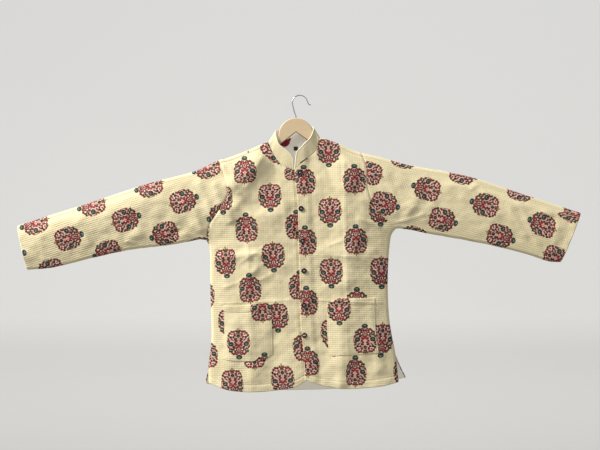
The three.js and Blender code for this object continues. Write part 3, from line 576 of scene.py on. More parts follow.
class Shell:
    """A wall between an outer and an inner grid of points, closed at its rims, with its charts."""

    def __init__(self, outer, inner, cut, places, stitches, kept, wrap=False):
        self.outer, self.inner, self.cut = outer, inner, cut
        self.kept, self.wrap = np.asarray(kept), wrap
        self.rows, self.columns = outer.shape[:2]
        self.places = np.concatenate([places, stitches], axis=-1)
        self.charts = {CLOTH: chart(cut, *OUTER_CHART), LINING: chart(cut, *INNER_CHART)}

    def quads(self, low, high, low_row, high_row, flip=False):
        """Cells between lines of points: their vertices, rows and columns, corner by corner.

        The lines are given by their first vertices and by their rows in the grid.
        """
        column = np.arange(self.columns if self.wrap else self.columns - 1)
        following = (column + 1) % self.columns
        low, high, low_row, high_row = (v[:, None] for v in (low, high, low_row, high_row))
        vertex = [low + column, low + following, high + following, high + column]
        row = [r + 0 * column for r in (low_row, low_row, high_row, high_row)]
        across = [c + 0 * low for c in (column, column + 1, column + 1, column)]
        order = [0, 3, 2, 1] if flip else [0, 1, 2, 3]
        return [np.stack(part, axis=-1)[..., order].reshape(-1, 4) for part in (vertex, row, across)]

    def side_rims(self, inner_first):
        """Triangles that join each side's dense outer points to its sparser inner ones."""
        vertex, row, across = [], [], []
        for c, flip in ((0, False), (self.columns - 1, True)):
            for k in range(1, len(self.kept)):
                low, high = self.kept[k - 1], self.kept[k]
                middle = (low + high) // 2
                inner_low, inner_high = inner_first[k - 1] + c, inner_first[k] + c
                strip = [(middle * self.columns + c, inner_high, inner_low, middle)]
                for r in range(low, high):
                    inner = inner_low if r < middle else inner_high
                    strip.append((r * self.columns + c, (r + 1) * self.columns + c, inner, r))
                for a, b, d, r in strip:
                    vertex.append((a, d, b) if flip else (a, b, d))
                    row.append((r, r, r))
                    across.append((c, c, c))
        return [np.array(part) for part in (vertex, row, across)]

    def build(self, name, surfaces):
        """The closed piece: both sides, the rims at both ends and those down the sides."""
        every = np.arange(self.rows)
        first = every * self.columns
        inner_first = self.rows * self.columns + np.arange(len(self.kept)) * self.columns
        parts = [
            (CLOTH, self.quads(first[:-1], first[1:], every[:-1], every[1:])),
            (LINING, self.quads(inner_first[:-1], inner_first[1:], self.kept[:-1], self.kept[1:], flip=True)),
            (CLOTH, self.quads(first[:1], inner_first[:1], every[:1], every[:1], flip=True)),
            (CLOTH, self.quads(first[-1:], inner_first[-1:], every[-1:], every[-1:])),
        ]
        if not self.wrap:
            parts.append((CLOTH, self.side_rims(inner_first)))
        vertices = np.vstack([self.outer.reshape(-1, 3), self.inner[self.kept].reshape(-1, 3)]) * MM
        loops = np.concatenate([vertex.ravel() for _, (vertex, _, _) in parts])
        bake = np.vstack([self.charts[slot][row, across].reshape(-1, 2) for slot, (_, row, across) in parts])
        places = np.vstack([self.places[row, across].reshape(-1, 4) for _, (_, row, across) in parts])
        sizes = np.concatenate([np.full(len(vertex), vertex.shape[1]) for _, (vertex, _, _) in parts])
        slots = np.concatenate([np.full(len(vertex), slot) for slot, (vertex, _, _) in parts])
        mesh = bpy.data.meshes.new(name)
        mesh.vertices.add(len(vertices))
        mesh.vertices.foreach_set("co", vertices.ravel())
        mesh.loops.add(len(loops))
        mesh.loops.foreach_set("vertex_index", loops.astype(np.int32))
        mesh.polygons.add(len(sizes))
        mesh.polygons.foreach_set("loop_start", (np.cumsum(sizes) - sizes).astype(np.int32))
        mesh.polygons.foreach_set("loop_total", sizes.astype(np.int32))
        for layer, values in (("OFBake", bake), ("print", places[:, :2]), ("stitches", places[:, 2:])):
            mesh.uv_layers.new(name=layer).data.foreach_set("uv", values.ravel())
        mesh.polygons.foreach_set("material_index", slots.astype(np.int32))
        mesh.polygons.foreach_set("use_smooth", np.ones(len(sizes), bool))
        for surface in surfaces:
            mesh.materials.append(surface)
        mesh.update(calc_edges=True)
        mesh.validate()
        return linked(name, mesh)


def outward(piece):
    """Turns the faces of a closed piece outwards if they all face in."""
    mesh = piece.data
    mesh.calc_loop_triangles()
    points = np.empty(len(mesh.vertices) * 3)
    mesh.vertices.foreach_get("co", points)
    points = points.reshape(-1, 3)
    index = np.empty(len(mesh.loop_triangles) * 3, np.int32)
    mesh.loop_triangles.foreach_get("vertices", index)
    a, b, c = points[index.reshape(-1, 3)].transpose(1, 0, 2)
    if np.einsum("ij,ij->i", a, np.cross(b, c)).sum() < 0:
        mesh.flip_normals()
    return piece


def area_of(cut):
    """The flat area of a grid of cut places, in square metres."""
    d1, d2 = cut[1:, 1:] - cut[:-1, :-1], cut[1:, :-1] - cut[:-1, 1:]
    return float(np.abs(d1[..., 0] * d2[..., 1] - d1[..., 1] * d2[..., 0]).sum() / 2 * MM**2)


def kept_rows(count, every):
    """The rows that the inner side keeps: every few, and all of them near both ends."""
    return np.array(sorted({*range(0, count, every), *range(6), *range(count - 16, count)}))


HEM_WIDTH = 16.0
HEM_ROLL = 1.15  # radius of the fold at a hem's edge
EDGE_STITCH = 6.0  # from the left front's edge
SHOULDER_SEAM = 11.0  # from the shoulder's fold, on the front


def front_grid(side):
    o = SIDES[side]
    rows = OUTLINE[side]
    outer_edge = in_turn(Line(o["front"]).reversed(), Line(o["armhole"]), SIDE_SHARE)
    neck = Line(catmull(rows["neck"]))
    top = in_turn(Line(o["shoulder"]), neck, NECK_SHARE)
    hem = Line(catmull(rows["hem"]))
    if side == "left":
        middle = Line(catmull(FRONT_EDGE))
    else:
        def middle(t):
            t = np.asarray(t, float)
            low, high = hem(1.0), top(1.0)
            straight = low + (high - low) * t[..., None]
            wanted = edge_x(straight[..., 1]) + LAP
            straight[..., 0] += (wanted - straight[..., 0]) * np.sin(math.pi * t)
            return straight
    u = shares(FRONT_GRID, COLUMN_STEP, fixed=(NECK_SHARE,))
    v = shares(BODY_LENGTH, ROW_STEP, fixed=(SIDE_SHARE,))
    return patch(hem, top, outer_edge, middle, u, v), u, v


def seam_height(distance):
    """An armhole's seam: a groove with a soft ridge beside it."""
    return groove(distance, 1.1, 2.6) + 0.5 * np.exp(-(((distance - 6) / 4) ** 2))


def hem_height(distance):
    """A turned-up hem: its row of stitches, its double cloth and its edge."""
    doubled = 0.5 * (1 - smoothstep(distance, HEM_WIDTH - 1, HEM_WIDTH + 1))
    return groove(distance - HEM_WIDTH, 0.6, 1.6) + doubled + rounded_edge(distance)


def front_offset(side, flat, u, v):
    """Heights over the plain cloth: of the lap alone, and of a front's whole outer side."""
    base = lap_rise(flat) if side == "left" else np.zeros(flat.shape[:2])
    outer = base + quilt(row_place(flat)) + seam_height(line_distance(SIDES[side]["armhole"], flat))
    outer += hem_height((v * BODY_LENGTH)[:, None])
    from_seam = line_distance(SIDES[side]["shoulder"], flat) - SHOULDER_SEAM
    outer += groove(from_seam, 1.0, 1.6) + 0.5 * np.exp(-(((from_seam - 4) / 3) ** 2))
    if side == "left":
        from_edge = ((1 - u) * FRONT_WIDTH)[None, :]
        outer += groove(from_edge - EDGE_STITCH, 0.5, 1.3) + rounded_edge(from_edge)
    else:
        outer += groove(flat[..., 0] - edge_x(flat[..., 1]) + 2.0, 2.1, 2.2)
    return base, outer


materials = {}


def sew(node, shell, cover="cloth"):
    """The shell as a piece of cloth, in place of its node."""
    piece = outward(shell.build(f"cloth_{node}", [materials[cover], materials["lining"]]))
    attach(piece, "root")
    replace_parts(piece, node)
    area_of(shell.cut)


def turn_up(kind, end, stitched, edge):
    """The row of stitches and the rolled edge of a hem or a cuff."""
    stitch_row(f"{kind}_{end}", stitched)
    # The rolled edge takes the piping's paler colour, which is partly its own and partly painted highlight.
    tube(f"{kind}_roll_{end}", edge, HEM_ROLL, materials["piping"])


def build_front(side):
    node = f"front_{side}"
    flat, u, v = front_grid(side)
    cloth = cloth_at("front", flat[..., 0], flat[..., 1])
    base, offset = front_offset(side, flat, u, v)
    outer = wall_points("front", flat, cloth, offset)
    inner = wall_points("front", flat, cloth, base - WALL)
    cut = unrolled(flat, cloth)
    shell = Shell(outer, inner, cut, print_places(node, cut), row_grid(flat), kept_rows(len(v), 4))
    sew(node, shell)
    if side == "left":
        stitch_row("edge", outer[:, column_at(u, 1 - EDGE_STITCH / FRONT_WIDTH)])
    turn_up("hem", side, outer[column_at(v, HEM_WIDTH / BODY_LENGTH)], (outer[0] + inner[0]) / 2)


def row_place(flat):
    """The coordinate across the body's rows of quilting, which run almost level."""
    return flat[..., 1] + 0.02 * flat[..., 0]


def row_grid(flat):
    """The coordinates along and across the body's rows of quilting."""
    return np.stack([flat[..., 0], row_place(flat)], axis=-1)


def column_at(share_list, wanted):
    return int(np.abs(share_list - wanted).argmin())


def build_back():
    u = shares(BACK_WIDTH, COLUMN_STEP, fixed=BACK_NECK_SHARES)
    v = shares(BODY_LENGTH, ROW_STEP, fixed=(SIDE_SHARE,))
    edges = {
        side: in_turn(Line(SIDES[side]["back"]).reversed(), Line(SIDES[side]["armhole"]), SIDE_SHARE)
        for side in SIDES
    }
    start, end = BACK_NECK_SHARES
    right, left = Line(SIDES["right"]["shoulder"]), Line(SIDES["left"]["shoulder"])
    neck = Line(catmull(BACK_NECK))

    def top(t):
        t = np.asarray(t, float)
        middle = neck((t - start) / (end - start))
        out = np.where((t <= start)[..., None], right(t / start), middle)
        return np.where((t >= end)[..., None], left((1 - t) / (1 - end)), out)

    flat = patch(Line(catmull(BACK_HEM)), top, edges["right"], edges["left"], u, v)
    cloth = cloth_at("back", flat[..., 0], flat[..., 1])
    offset = quilt(row_place(flat)) + hem_height((v * BODY_LENGTH)[:, None])
    for side in SIDES:
        offset += seam_height(line_distance(SIDES[side]["armhole"], flat))
    outer = wall_points("back", flat, cloth, offset)
    inner = wall_points("back", flat, cloth, np.full(flat.shape[:2], -WALL))
    cut = unrolled(flat, cloth)
    shell = Shell(outer, inner, cut, print_places("back", cut), row_grid(flat), kept_rows(len(v), 4))
    sew("back", shell)
    turn_up("hem", "back", outer[column_at(v, HEM_WIDTH / BODY_LENGTH)], (outer[0] + inner[0]) / 2)


def build_sleeve(side):
    """A tube of rings. Each ring runs from the underarm over the front to the top and down the back."""
    node = f"sleeve_{side}"
    o = SIDES[side]
    top, under = Line(o["sleeve_top"]).reversed(), Line(o["sleeve_under"]).reversed()
    armhole = Line(o["armhole"]).reversed()
    cuff_top, cuff_under = top(1.0), under(1.0)

    def cuff(t):
        t = np.asarray(t, float)[..., None]
        return cuff_top * (1 - t) + cuff_under * t

    along = shares(SLEEVE_LENGTH, SLEEVE_STEP)
    across = shares(SLEEVE_WIDTH, ROW_STEP)
    outward_x = -1.0 if side == "right" else 1.0
    # Patch rows run over the second share, so the grid is turned to rings first
    half = patch(top, under, armhole, cuff, along, across).transpose(1, 0, 2)
    half[..., 0] += outward_x * SEAM * np.exp(-along * 200)[:, None]
    axis = math.radians(PRINT[node]["tilt"])
    across_rows = half[..., 0] * math.cos(axis) + half[..., 1] * math.sin(axis)
    along_rows = half[..., 1] * math.cos(axis) - half[..., 0] * math.sin(axis)
    offset = quilt(across_rows) + groove(line_distance(o["armhole"], half), 1.0, 2.4)
    offset += hem_height(((1 - along) * SLEEVE_LENGTH)[:, None])
    walls, cuts = {}, {}
    for face in ("front", "back"):
        cloth = cloth_at(face, half[..., 0], half[..., 1])
        cuts[face] = unrolled(half, cloth)
        depths = (offset, np.full_like(offset, -WALL))
        walls[face] = [wall_points(face, half, cloth, depth) for depth in depths]
        for points in walls[face]:
            points[:, [0, -1], 1] = 0
    # The back's cut lies beyond the top fold: the front's places, mirrored about that fold
    top_line = cuts["front"][:, :1]
    direction = cuts["front"][:, 1:2] - top_line
    direction /= np.linalg.norm(direction, axis=-1, keepdims=True)
    reach = ((cuts["back"] - top_line) * direction).sum(axis=-1, keepdims=True)
    mirrored = cuts["back"] - 2 * reach * direction
    half_rows = np.stack([along_rows, across_rows], axis=-1)
    rows = np.concatenate([half_rows[:, ::-1], half_rows[:, 1:]], axis=1)
    both = zip(walls["front"], walls["back"])
    outer, inner = (np.concatenate([front[:, ::-1], back[:, 1:-1]], axis=1) for front, back in both)
    cut = np.concatenate([cuts["front"][:, ::-1], mirrored[:, 1:]], axis=1)
    shell = Shell(outer, inner, cut, print_places(node, cut), rows, np.arange(len(along)), wrap=True)
    sew(node, shell)
    cuff_row = outer[column_at(along, 1 - HEM_WIDTH / SLEEVE_LENGTH)]
    edge = (outer[-1] + inner[-1]) / 2
    turn_up("cuff", side, np.vstack([cuff_row, cuff_row[:1]]), np.vstack([edge, edge[:1]]))


# Where a pocket lies, as shares of the front's grid, how far its lower corner nearer the middle is
# rounded off, and how far its lower end leans
POCKETS = {
    "right": {"u": (0.134, 0.606), "v": (0.124, 0.352), "round": 14.0, "lean": 0.0},
    "left": {"u": (0.15, 0.69), "v": (0.131, 0.350), "round": 0.0, "lean": 7.0},
}
POCKET_STITCH = 3.0  # from a pocket's sides and bottom to its row of stitches
POCKET_TOP_STITCH = 19.0
POCKET_ROUND = 1.2


def build_pocket(side):
    node = f"pocket_{side}"
    flat_front, u, v = front_grid(side)
    size = POCKETS[side]
    us = size["u"][0] + (size["u"][1] - size["u"][0]) * shares(POCKET_WIDTH, COLUMN_STEP)
    vs = size["v"][0] + (size["v"][1] - size["v"][0]) * shares(POCKET_HEIGHT, ROW_STEP)
    # The front's places at the pocket's shares, by interpolation along its rows and then its columns
    rows = np.stack([[np.interp(us, u, line[:, k]) for line in flat_front] for k in (0, 1)], axis=-1)
    flat = np.stack([
        np.stack([np.interp(vs, v, rows[:, c, k]) for c in range(len(us))], axis=1) for k in (0, 1)
    ], axis=-1)
    s = (us - us[0])[None, :] / (us[-1] - us[0])
    t = (vs - vs[0])[:, None] / (vs[-1] - vs[0])
    flat[..., 1] += size["round"] * smoothstep(s, 0.8, 1.0) * (1 - t) ** 3
    flat[..., 0] -= size["lean"] * (1 - t)
    cloth = cloth_at("front", flat[..., 0], flat[..., 1])
    base = lap_rise(flat) if side == "left" else np.zeros(flat.shape[:2])
    gape = 1.5 * (1 - (2 * s - 1) ** 2) * smoothstep(t, 0.84, 1.0)
    under = base + ROW_PUFF * 0.4 + gape
    sides, low, high = np.minimum(s, 1 - s) * POCKET_WIDTH, t * POCKET_HEIGHT, (1 - t) * POCKET_HEIGHT
    offset = under + POCKET_WALL + quilt(row_place(flat)) * smoothstep(np.minimum(sides, low), 0, 5)
    for distance in (sides, low):
        offset += groove(distance - POCKET_STITCH, 0.5, 1.1)
    offset += groove(high - POCKET_TOP_STITCH, 0.6, 1.5) + 0.6 * (1 - smoothstep(high, 18, 20))
    for distance in (sides, low, high):
        offset += rounded_edge(distance, POCKET_ROUND)
    outer = wall_points("front", flat, cloth, offset)
    inner = wall_points("front", flat, cloth, under)
    shell = Shell(outer, inner, flat, print_places(node, flat), row_grid(flat), kept_rows(len(vs), 2))
    sew(node, shell)
    low_row = column_at(t[:, 0], POCKET_STITCH / POCKET_HEIGHT)
    top_row = column_at(t[:, 0], 1 - POCKET_TOP_STITCH / POCKET_HEIGHT)
    first, last = (column_at(s[0] * POCKET_WIDTH, x) for x in (POCKET_STITCH, POCKET_WIDTH - POCKET_STITCH))
    path = [outer[:low_row:-1, first], outer[low_row, first:last], outer[low_row:, last]]
    stitch_row(node, np.vstack(path))
    stitch_row(f"pocket_top_{side}", outer[top_row, first:last + 1])


PIPING = 1.5  # radius of the cord round the collar's rim
COLLAR_STITCH = 4.0  # from the collar's top and ends
COLLAR_HIDDEN = 0.797  # share of the right front's neck line at which the collar ends
NEAR_FOLD = (0, 0.3, 0.8, 1.6, 3, 5, 7.5, 10.5)  # where the collar's first sections stand on each part


def collar_sections():
    """The feet and tops of the collar's sections, from the right front end round the back."""
    tops = [Line(part) for part in catmull_parts(COLLAR_TOP["right"], COLLAR_TOP["back"], COLLAR_TOP["left"])]
    spans = (("right", "front"), ("back", "back"), ("left", "front"))
    feet, heads = [], []
    for (kind, face), top in zip(spans, tops):
        line = Line(catmull(BACK_NECK if kind == "back" else OUTLINE[kind]["neck"]))
        near = np.array(NEAR_FOLD) / line.length
        share = np.concatenate([near, np.linspace(0.12, 1, 26)])
        if kind == "back":
            share = np.concatenate([near, np.linspace(0.12, 0.88, 24), 1 - near[::-1]])
        if kind == "right":
            share = share * COLLAR_HIDDEN
        flat = line(share)
        cloth = cloth_at(face, flat[:, 0], flat[:, 1])
        foot = wall_points(face, flat, cloth, lap_rise(flat) if kind == "left" else np.zeros(len(flat)))
        foot[0, 1] = 0
        if kind == "back":
            foot[-1, 1] = 0
        lengths = lengths_of(foot) / lengths_of(foot)[-1]
        head = top(1 - lengths if kind == "right" else lengths)[:, [0, 2, 1]]
        if kind == "right":
            foot, head = foot[::-1], head[::-1]
        skip = 0 if kind == "right" else 1
        feet.append(foot[skip:])
        heads.append(head[skip:])
    return np.vstack(feet), np.vstack(heads)


def build_collar():
    feet, heads = collar_sections()
    up = heads - feet
    up /= np.linalg.norm(up, axis=1, keepdims=True)
    middle = (feet + heads) / 2
    around = np.gradient(middle, axis=0)
    for _ in range(2):
        around[1:-1] = (around[:-2] + 2 * around[1:-1] + around[2:]) / 4
    inwards = np.cross(around, up)
    inwards /= np.linalg.norm(inwards, axis=1, keepdims=True)
    feet = feet + up * SEAM
    share = shares(COLLAR_HEIGHT, 2.6)[:, None, None]
    distance = share[..., 0] * COLLAR_HEIGHT
    along = lengths_of(middle)
    from_end = np.minimum(along, along[-1] - along)[None, :]
    line = feet * (1 - share) + heads * share
    offset = quilt(distance) * 0.45 + groove(distance, 0.8, 2.0)
    offset = offset + groove(COLLAR_HEIGHT - distance - COLLAR_STITCH, 0.4, 1.1)
    offset = offset + groove(from_end - COLLAR_STITCH, 0.4, 1.1)
    outer = line - inwards * offset[..., None]
    inner = line + inwards * WALL
    cut = np.stack(np.broadcast_arrays(along[None, :], distance), axis=-1)
    shell = Shell(outer, inner, cut, print_places("collar", cut), cut, np.arange(len(share)))
    sew("collar", shell, cover="plain")
    within = inwards * WALL / 2
    rim = np.vstack([line[:, 0] + within[0], heads + within, line[::-1, -1] + within[-1]])
    # The piping's paler colour is partly the cord's own and partly painted highlight along the collar's rim.
    tube("collar_piping", rim, PIPING, materials["piping"])


def tube(name, points, radius, material, sides=10):
    """A round cord along points in millimetres, with closed ends."""
    curve = bpy.data.curves.new(name, "CURVE")
    curve.dimensions = "3D"
    curve.bevel_depth = radius * MM
    curve.bevel_resolution = sides // 4
    curve.use_fill_caps = True
    line = curve.splines.new("POLY")
    line.points.add(len(points) - 1)
    for p, (x, y, z) in zip(line.points, points):
        p.co = (x * MM, y * MM, z * MM, 1)
    holder = linked(name, curve)
    mesh = bpy.data.meshes.new_from_object(holder.evaluated_get(bpy.context.evaluated_depsgraph_get()))
    bpy.data.objects.remove(holder)
    mesh.materials.clear()
    mesh.polygons.foreach_set("use_smooth", np.ones(len(mesh.polygons), bool))
    return declared(name, mesh, material)


def declared(name, mesh, material):
    """A piece of the one body, from its mesh."""
    mesh.materials.append(material)
    piece = linked(name, mesh)
    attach(piece, "root")
    return piece


def add_piece(name, points, faces, material):
    """A piece from points in millimetres and lists of each face's points."""
    mesh = bpy.data.meshes.new(name)
    mesh.from_pydata((points * MM).tolist(), [], faces)
    mesh.polygons.foreach_set("use_smooth", np.ones(len(mesh.polygons), bool))
    return outward(declared(name, mesh, material))


STITCH = {"length": 3.0, "gap": 1.5, "width": 0.34, "stand": 0.22}
# A stitch's faces, between its two ends (0 and 1), its sides, its top and its underside
STITCH_FACES = [(0, 2, 4), (0, 4, 3), (0, 3, 5), (0, 5, 2), (1, 4, 2), (1, 3, 4), (1, 5, 3), (1, 2, 5)]


def stitch_row(name, points):
    """One row of machine stitches on the cloth along points in millimetres."""
    line = Line(points)
    count = int(line.length // (STITCH["length"] + STITCH["gap"]))
    starts = np.arange(count) * (line.length / count) / line.length
    share = STITCH["length"] / line.length
    a, middle, b = line(starts), line(starts + share / 2), line(starts + share)
    ahead = b - a
    ahead /= np.linalg.norm(ahead, axis=1, keepdims=True)
    out = np.sign(middle[:, 1:2] + 1e-9) * np.array([[0.0, 1.0, 0.0]])
    wide, stand = np.cross(ahead, out) * STITCH["width"], out * STITCH["stand"]
    vertices = np.stack([a, b, middle + wide, middle - wide, middle + stand, middle - stand], axis=1)
    faces = (np.array(STITCH_FACES)[None] + 6 * np.arange(count)[:, None, None]).reshape(-1, 3).tolist()
    add_piece(f"stitches_{name}", vertices.reshape(-1, 3), faces, materials["thread"])


FRONT_Y = -25.0  # before the front, from where the nearest cloth is sought
cloth_trees = {}


def on_cloth(name, x, z, stand=0.0):
    """The place and outward direction on the front of a piece at x and z, in millimetres."""
    if name not in cloth_trees:
        graph = bpy.context.evaluated_depsgraph_get()
        cloth_trees[name] = BVHTree.FromObject(bpy.data.objects[name], graph)
    tree = cloth_trees[name]
    found, normal, _, _ = tree.ray_cast(Vector((x * MM, -1.0, z * MM)), Vector((0, 1, 0)))
    if found is None:
        found, normal, _, _ = tree.find_nearest(Vector((x * MM, FRONT_Y * MM, z * MM)))
    normal = np.array(normal)
    return np.array(found) / MM + normal * stand, normal


BUTTON_COUNT = 6
BUTTON_SIDES = 48
# A button's section from its back out, as radius and height
BUTTON_SECTION = [
    (0, 0), (6.2, 0), (6.9, 0.35), (7.3, 0.95), (7.3, 1.35), (6.9, 1.95), (6.2, 2.2),
    (5.5, 2.1), (4.9, 1.75), (4.4, 1.5), (2.6, 1.4), (0, 1.45),
]
# The button's thread: two arcs over the middle, each from one hole to the hole across from it
THREAD = {"radius": 0.62, "stand": 0.5, "arch": 1.1}
THREAD_ENDS = {"a": ((-1.1, -1.1), (1.1, 1.1)), "b": ((1.1, -1.1), (-1.1, 1.1))}


def build_button(number):
    """A button with its thread. Gives its middle as x and z."""
    node = f"button_{number}"
    low, high = (np.array(corner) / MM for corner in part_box(node))
    x, back, z = (low[0] + high[0]) / 2, high[1], (low[2] + high[2]) / 2
    angles = np.linspace(0, 2 * math.pi, BUTTON_SIDES, endpoint=False)
    rings = []
    for radius, height in BUTTON_SECTION:
        depth = np.full(BUTTON_SIDES, back - height)
        rings.append(np.stack([x + radius * np.cos(angles), depth, z + radius * np.sin(angles)], axis=-1))
    faces = ring_faces(len(rings), BUTTON_SIDES)
    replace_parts(add_piece(f"disc_{node}", np.vstack(rings), faces, materials["button"]), node)
    front = back - BUTTON_SECTION[-1][1]
    t = np.linspace(0, 1, 7)
    for name, ((x0, z0), (x1, z1)) in THREAD_ENDS.items():
        depth = front + THREAD["stand"] - THREAD["arch"] * np.sin(math.pi * t) ** 0.6
        arc = np.stack([x + x0 + (x1 - x0) * t, depth, z + z0 + (z1 - z0) * t], axis=-1)
        tube(f"thread_{name}_{node}", arc, THREAD["radius"], materials["button_thread"])
    return x, z


def ring_faces(rings, sides):
    """Quads between rings of points, each ring with the next."""
    faces = []
    for start in range(0, (rings - 1) * sides, sides):
        for k in range(sides):
            n = (k + 1) % sides
            faces.append((start + k, start + n, start + sides + n, start + sides + k))
    return faces


HOLE = {"width": 1.5, "thread": 0.6, "slit": 0.45, "bar": 0.7, "stand": 0.25, "knot": 1.5}


def build_buttonhole(name, piece, start, end, material):
    """Close thread round a slit, from start to end as x and z, with a bar at each end, and a dark cord of
    painted shadow in the slit.
    """
    start, end = np.array(start, float), np.array(end, float)
    ahead = (end - start) / np.linalg.norm(end - start)
    side = np.array([-ahead[1], ahead[0]]) * HOLE["width"] / 2
    slit = start + (end - start) * np.linspace(0, 1, 12)[:, None]
    bar = ahead * HOLE["bar"]
    loop = np.vstack([slit + side, end + bar, (slit - side)[::-1], start - bar, start + side])
    around, along = (
        np.array([on_cloth(piece, x, z, HOLE["stand"])[0] for x, z in path]) for path in (loop, slit)
    )
    tube(f"buttonhole_{name}", around, HOLE["thread"], material)
    # Painted shadow: a dark cord lies along the slit, standing in for the shade inside its opening.
    tube(f"slit_{name}", along, HOLE["slit"], materials["slit"])


LABEL_RISE = 4.0  # how far the tape stands over the solid's place, as the photo shows it
LABEL_BOW = 0.5


def build_label():
    """A small woven tape inside the back neck, a little bowed."""
    low, high = (np.array(corner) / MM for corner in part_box("size_label"))
    (x0, _, z0), (x1, _, z1) = low, high
    z0, z1 = z0 + LABEL_RISE, z1 + LABEL_RISE
    steps = np.linspace(0, 1, 9)
    x, z = np.meshgrid(x0 + (x1 - x0) * steps, z0 + (z1 - z0) * steps)
    bow = LABEL_BOW * np.sin(math.pi * (x - x0) / (x1 - x0)) * np.sin(math.pi * (z - z0) / (z1 - z0))
    outer, inner = (np.stack([x, corner[1] - bow, z], axis=-1) for corner in (low, high))
    cut = np.stack([x, z], axis=-1)
    shell = Shell(outer, inner, cut, cut, cut, np.arange(9))
    piece = outward(shell.build("cloth_label", [materials["label"], materials["label"]]))
    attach(piece, "root")
    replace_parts(piece, "size_label")


HANGER = {
    "thick": 11.0, "bevel": 2.5, "bevel_steps": 6, "inset": 4.6,
    "head_radius": 47.0, "head_x": -11.0, "head_z": -107.0,
}
ARM = {"right": 0.93, "left": 0.90, "stations": 24, "wide": 27.0, "taper": 11.0}
NOTCH_Z = -98.0
DOME = {"start": 197, "end": -12, "steps": 72}


def hanger_outline():
    """The board's outline as x and z, clockwise from the end of its right arm."""
    tops = {}
    for side, turn in (("right", -1.0), ("left", 1.0)):
        o = SIDES[side]
        chain = np.vstack([o["sleeve_top"], o["shoulder"][1:]])
        share = 1 - ARM[side] * np.linspace(0, 1, ARM["stations"] + 1)
        at = Line(o["shoulder"])(share)
        _, nx, nz = nearest_on(chain, turn, at[:, 0], at[:, 1])
        tops[side] = at + HANGER["inset"] * np.stack([nx, nz], axis=-1)
    angles = np.radians(np.linspace(DOME["start"], DOME["end"], DOME["steps"] + 1))
    centre = np.array([HANGER["head_x"], HANGER["head_z"]])
    dome = centre + HANGER["head_radius"] * np.stack([np.cos(angles), np.sin(angles)], axis=-1)
    drop = ARM["wide"] - ARM["taper"] * np.linspace(0, 1, ARM["stations"] + 1)
    under = {side: top - np.stack([np.zeros_like(drop), drop], axis=-1) for side, top in tops.items()}
    notch = np.array([[HANGER["head_x"], NOTCH_Z]])
    return np.vstack([tops["right"][::-1], dome, tops["left"], under["left"][::-1], notch, under["right"]])


def build_hanger():
    """The wooden board, with rounded edges."""
    outline = hanger_outline()
    inward = 0
    for edge in (outline - np.roll(outline, 1, axis=0), np.roll(outline, -1, axis=0) - outline):
        normal = np.stack([edge[:, 1], -edge[:, 0]], axis=-1)
        inward = inward + normal / np.maximum(np.linalg.norm(normal, axis=1, keepdims=True), 1e-9)
    inward /= np.maximum(np.linalg.norm(inward, axis=1, keepdims=True), 0.5)
    bevel, flat_depth = HANGER["bevel"], HANGER["thick"] / 2 - HANGER["bevel"]
    quarter = np.linspace(0, math.pi / 2, HANGER["bevel_steps"])
    rings = []
    for sign, angles in ((-1, quarter), (1, quarter[::-1])):
        for angle in angles:
            x, z = (outline + inward * bevel * (1 - math.sin(angle))).T
            depth = sign * (flat_depth + bevel * math.cos(angle))
            rings.append(np.stack([x, np.full(len(x), depth), z], axis=-1))
    count, total = len(outline), len(outline) * len(rings)
    ends = [tuple(range(count - 1, -1, -1)), tuple(range(total - count, total))]
    faces = ring_faces(len(rings), count) + ends
    board = add_piece("hanger_board", np.vstack(rings), faces, materials["wood"])
    for face in board.data.polygons[-2:]:
        face.use_smooth = False
    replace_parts(board, "hanger")


HOOK = {"wire": 1.6, "radius": 20.6, "depth": 24.0}
HOOK_TIP = [(30, -25), (24.5, -23)]


def build_hook():
    """The wire: a round crown over the origin, a tip that turns out and a stem down into the head."""
    centre_z = HOOK["wire"] - HOOK["radius"]
    stations = list(HOOK_TIP)
    for degrees in range(10, 201, 19):
        angle = math.radians(degrees)
        stations.append((HOOK["radius"] * math.cos(angle), centre_z + HOOK["radius"] * math.sin(angle)))
    head_top = HANGER["head_z"] + HANGER["head_radius"]
    stations += [(HANGER["head_x"] - 4, head_top + 16), (HANGER["head_x"], head_top + 5)]
    stations += [(HANGER["head_x"], head_top - 8), (HANGER["head_x"], head_top - HOOK["depth"] + 1)]
    line = catmull(stations)
    points = np.stack([line[:, 0], np.zeros(len(line)), line[:, 1]], axis=-1)
    wire = tube("hook_wire", points, HOOK["wire"], materials["wire"], sides=20)
    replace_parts(wire, "hanger_hook")


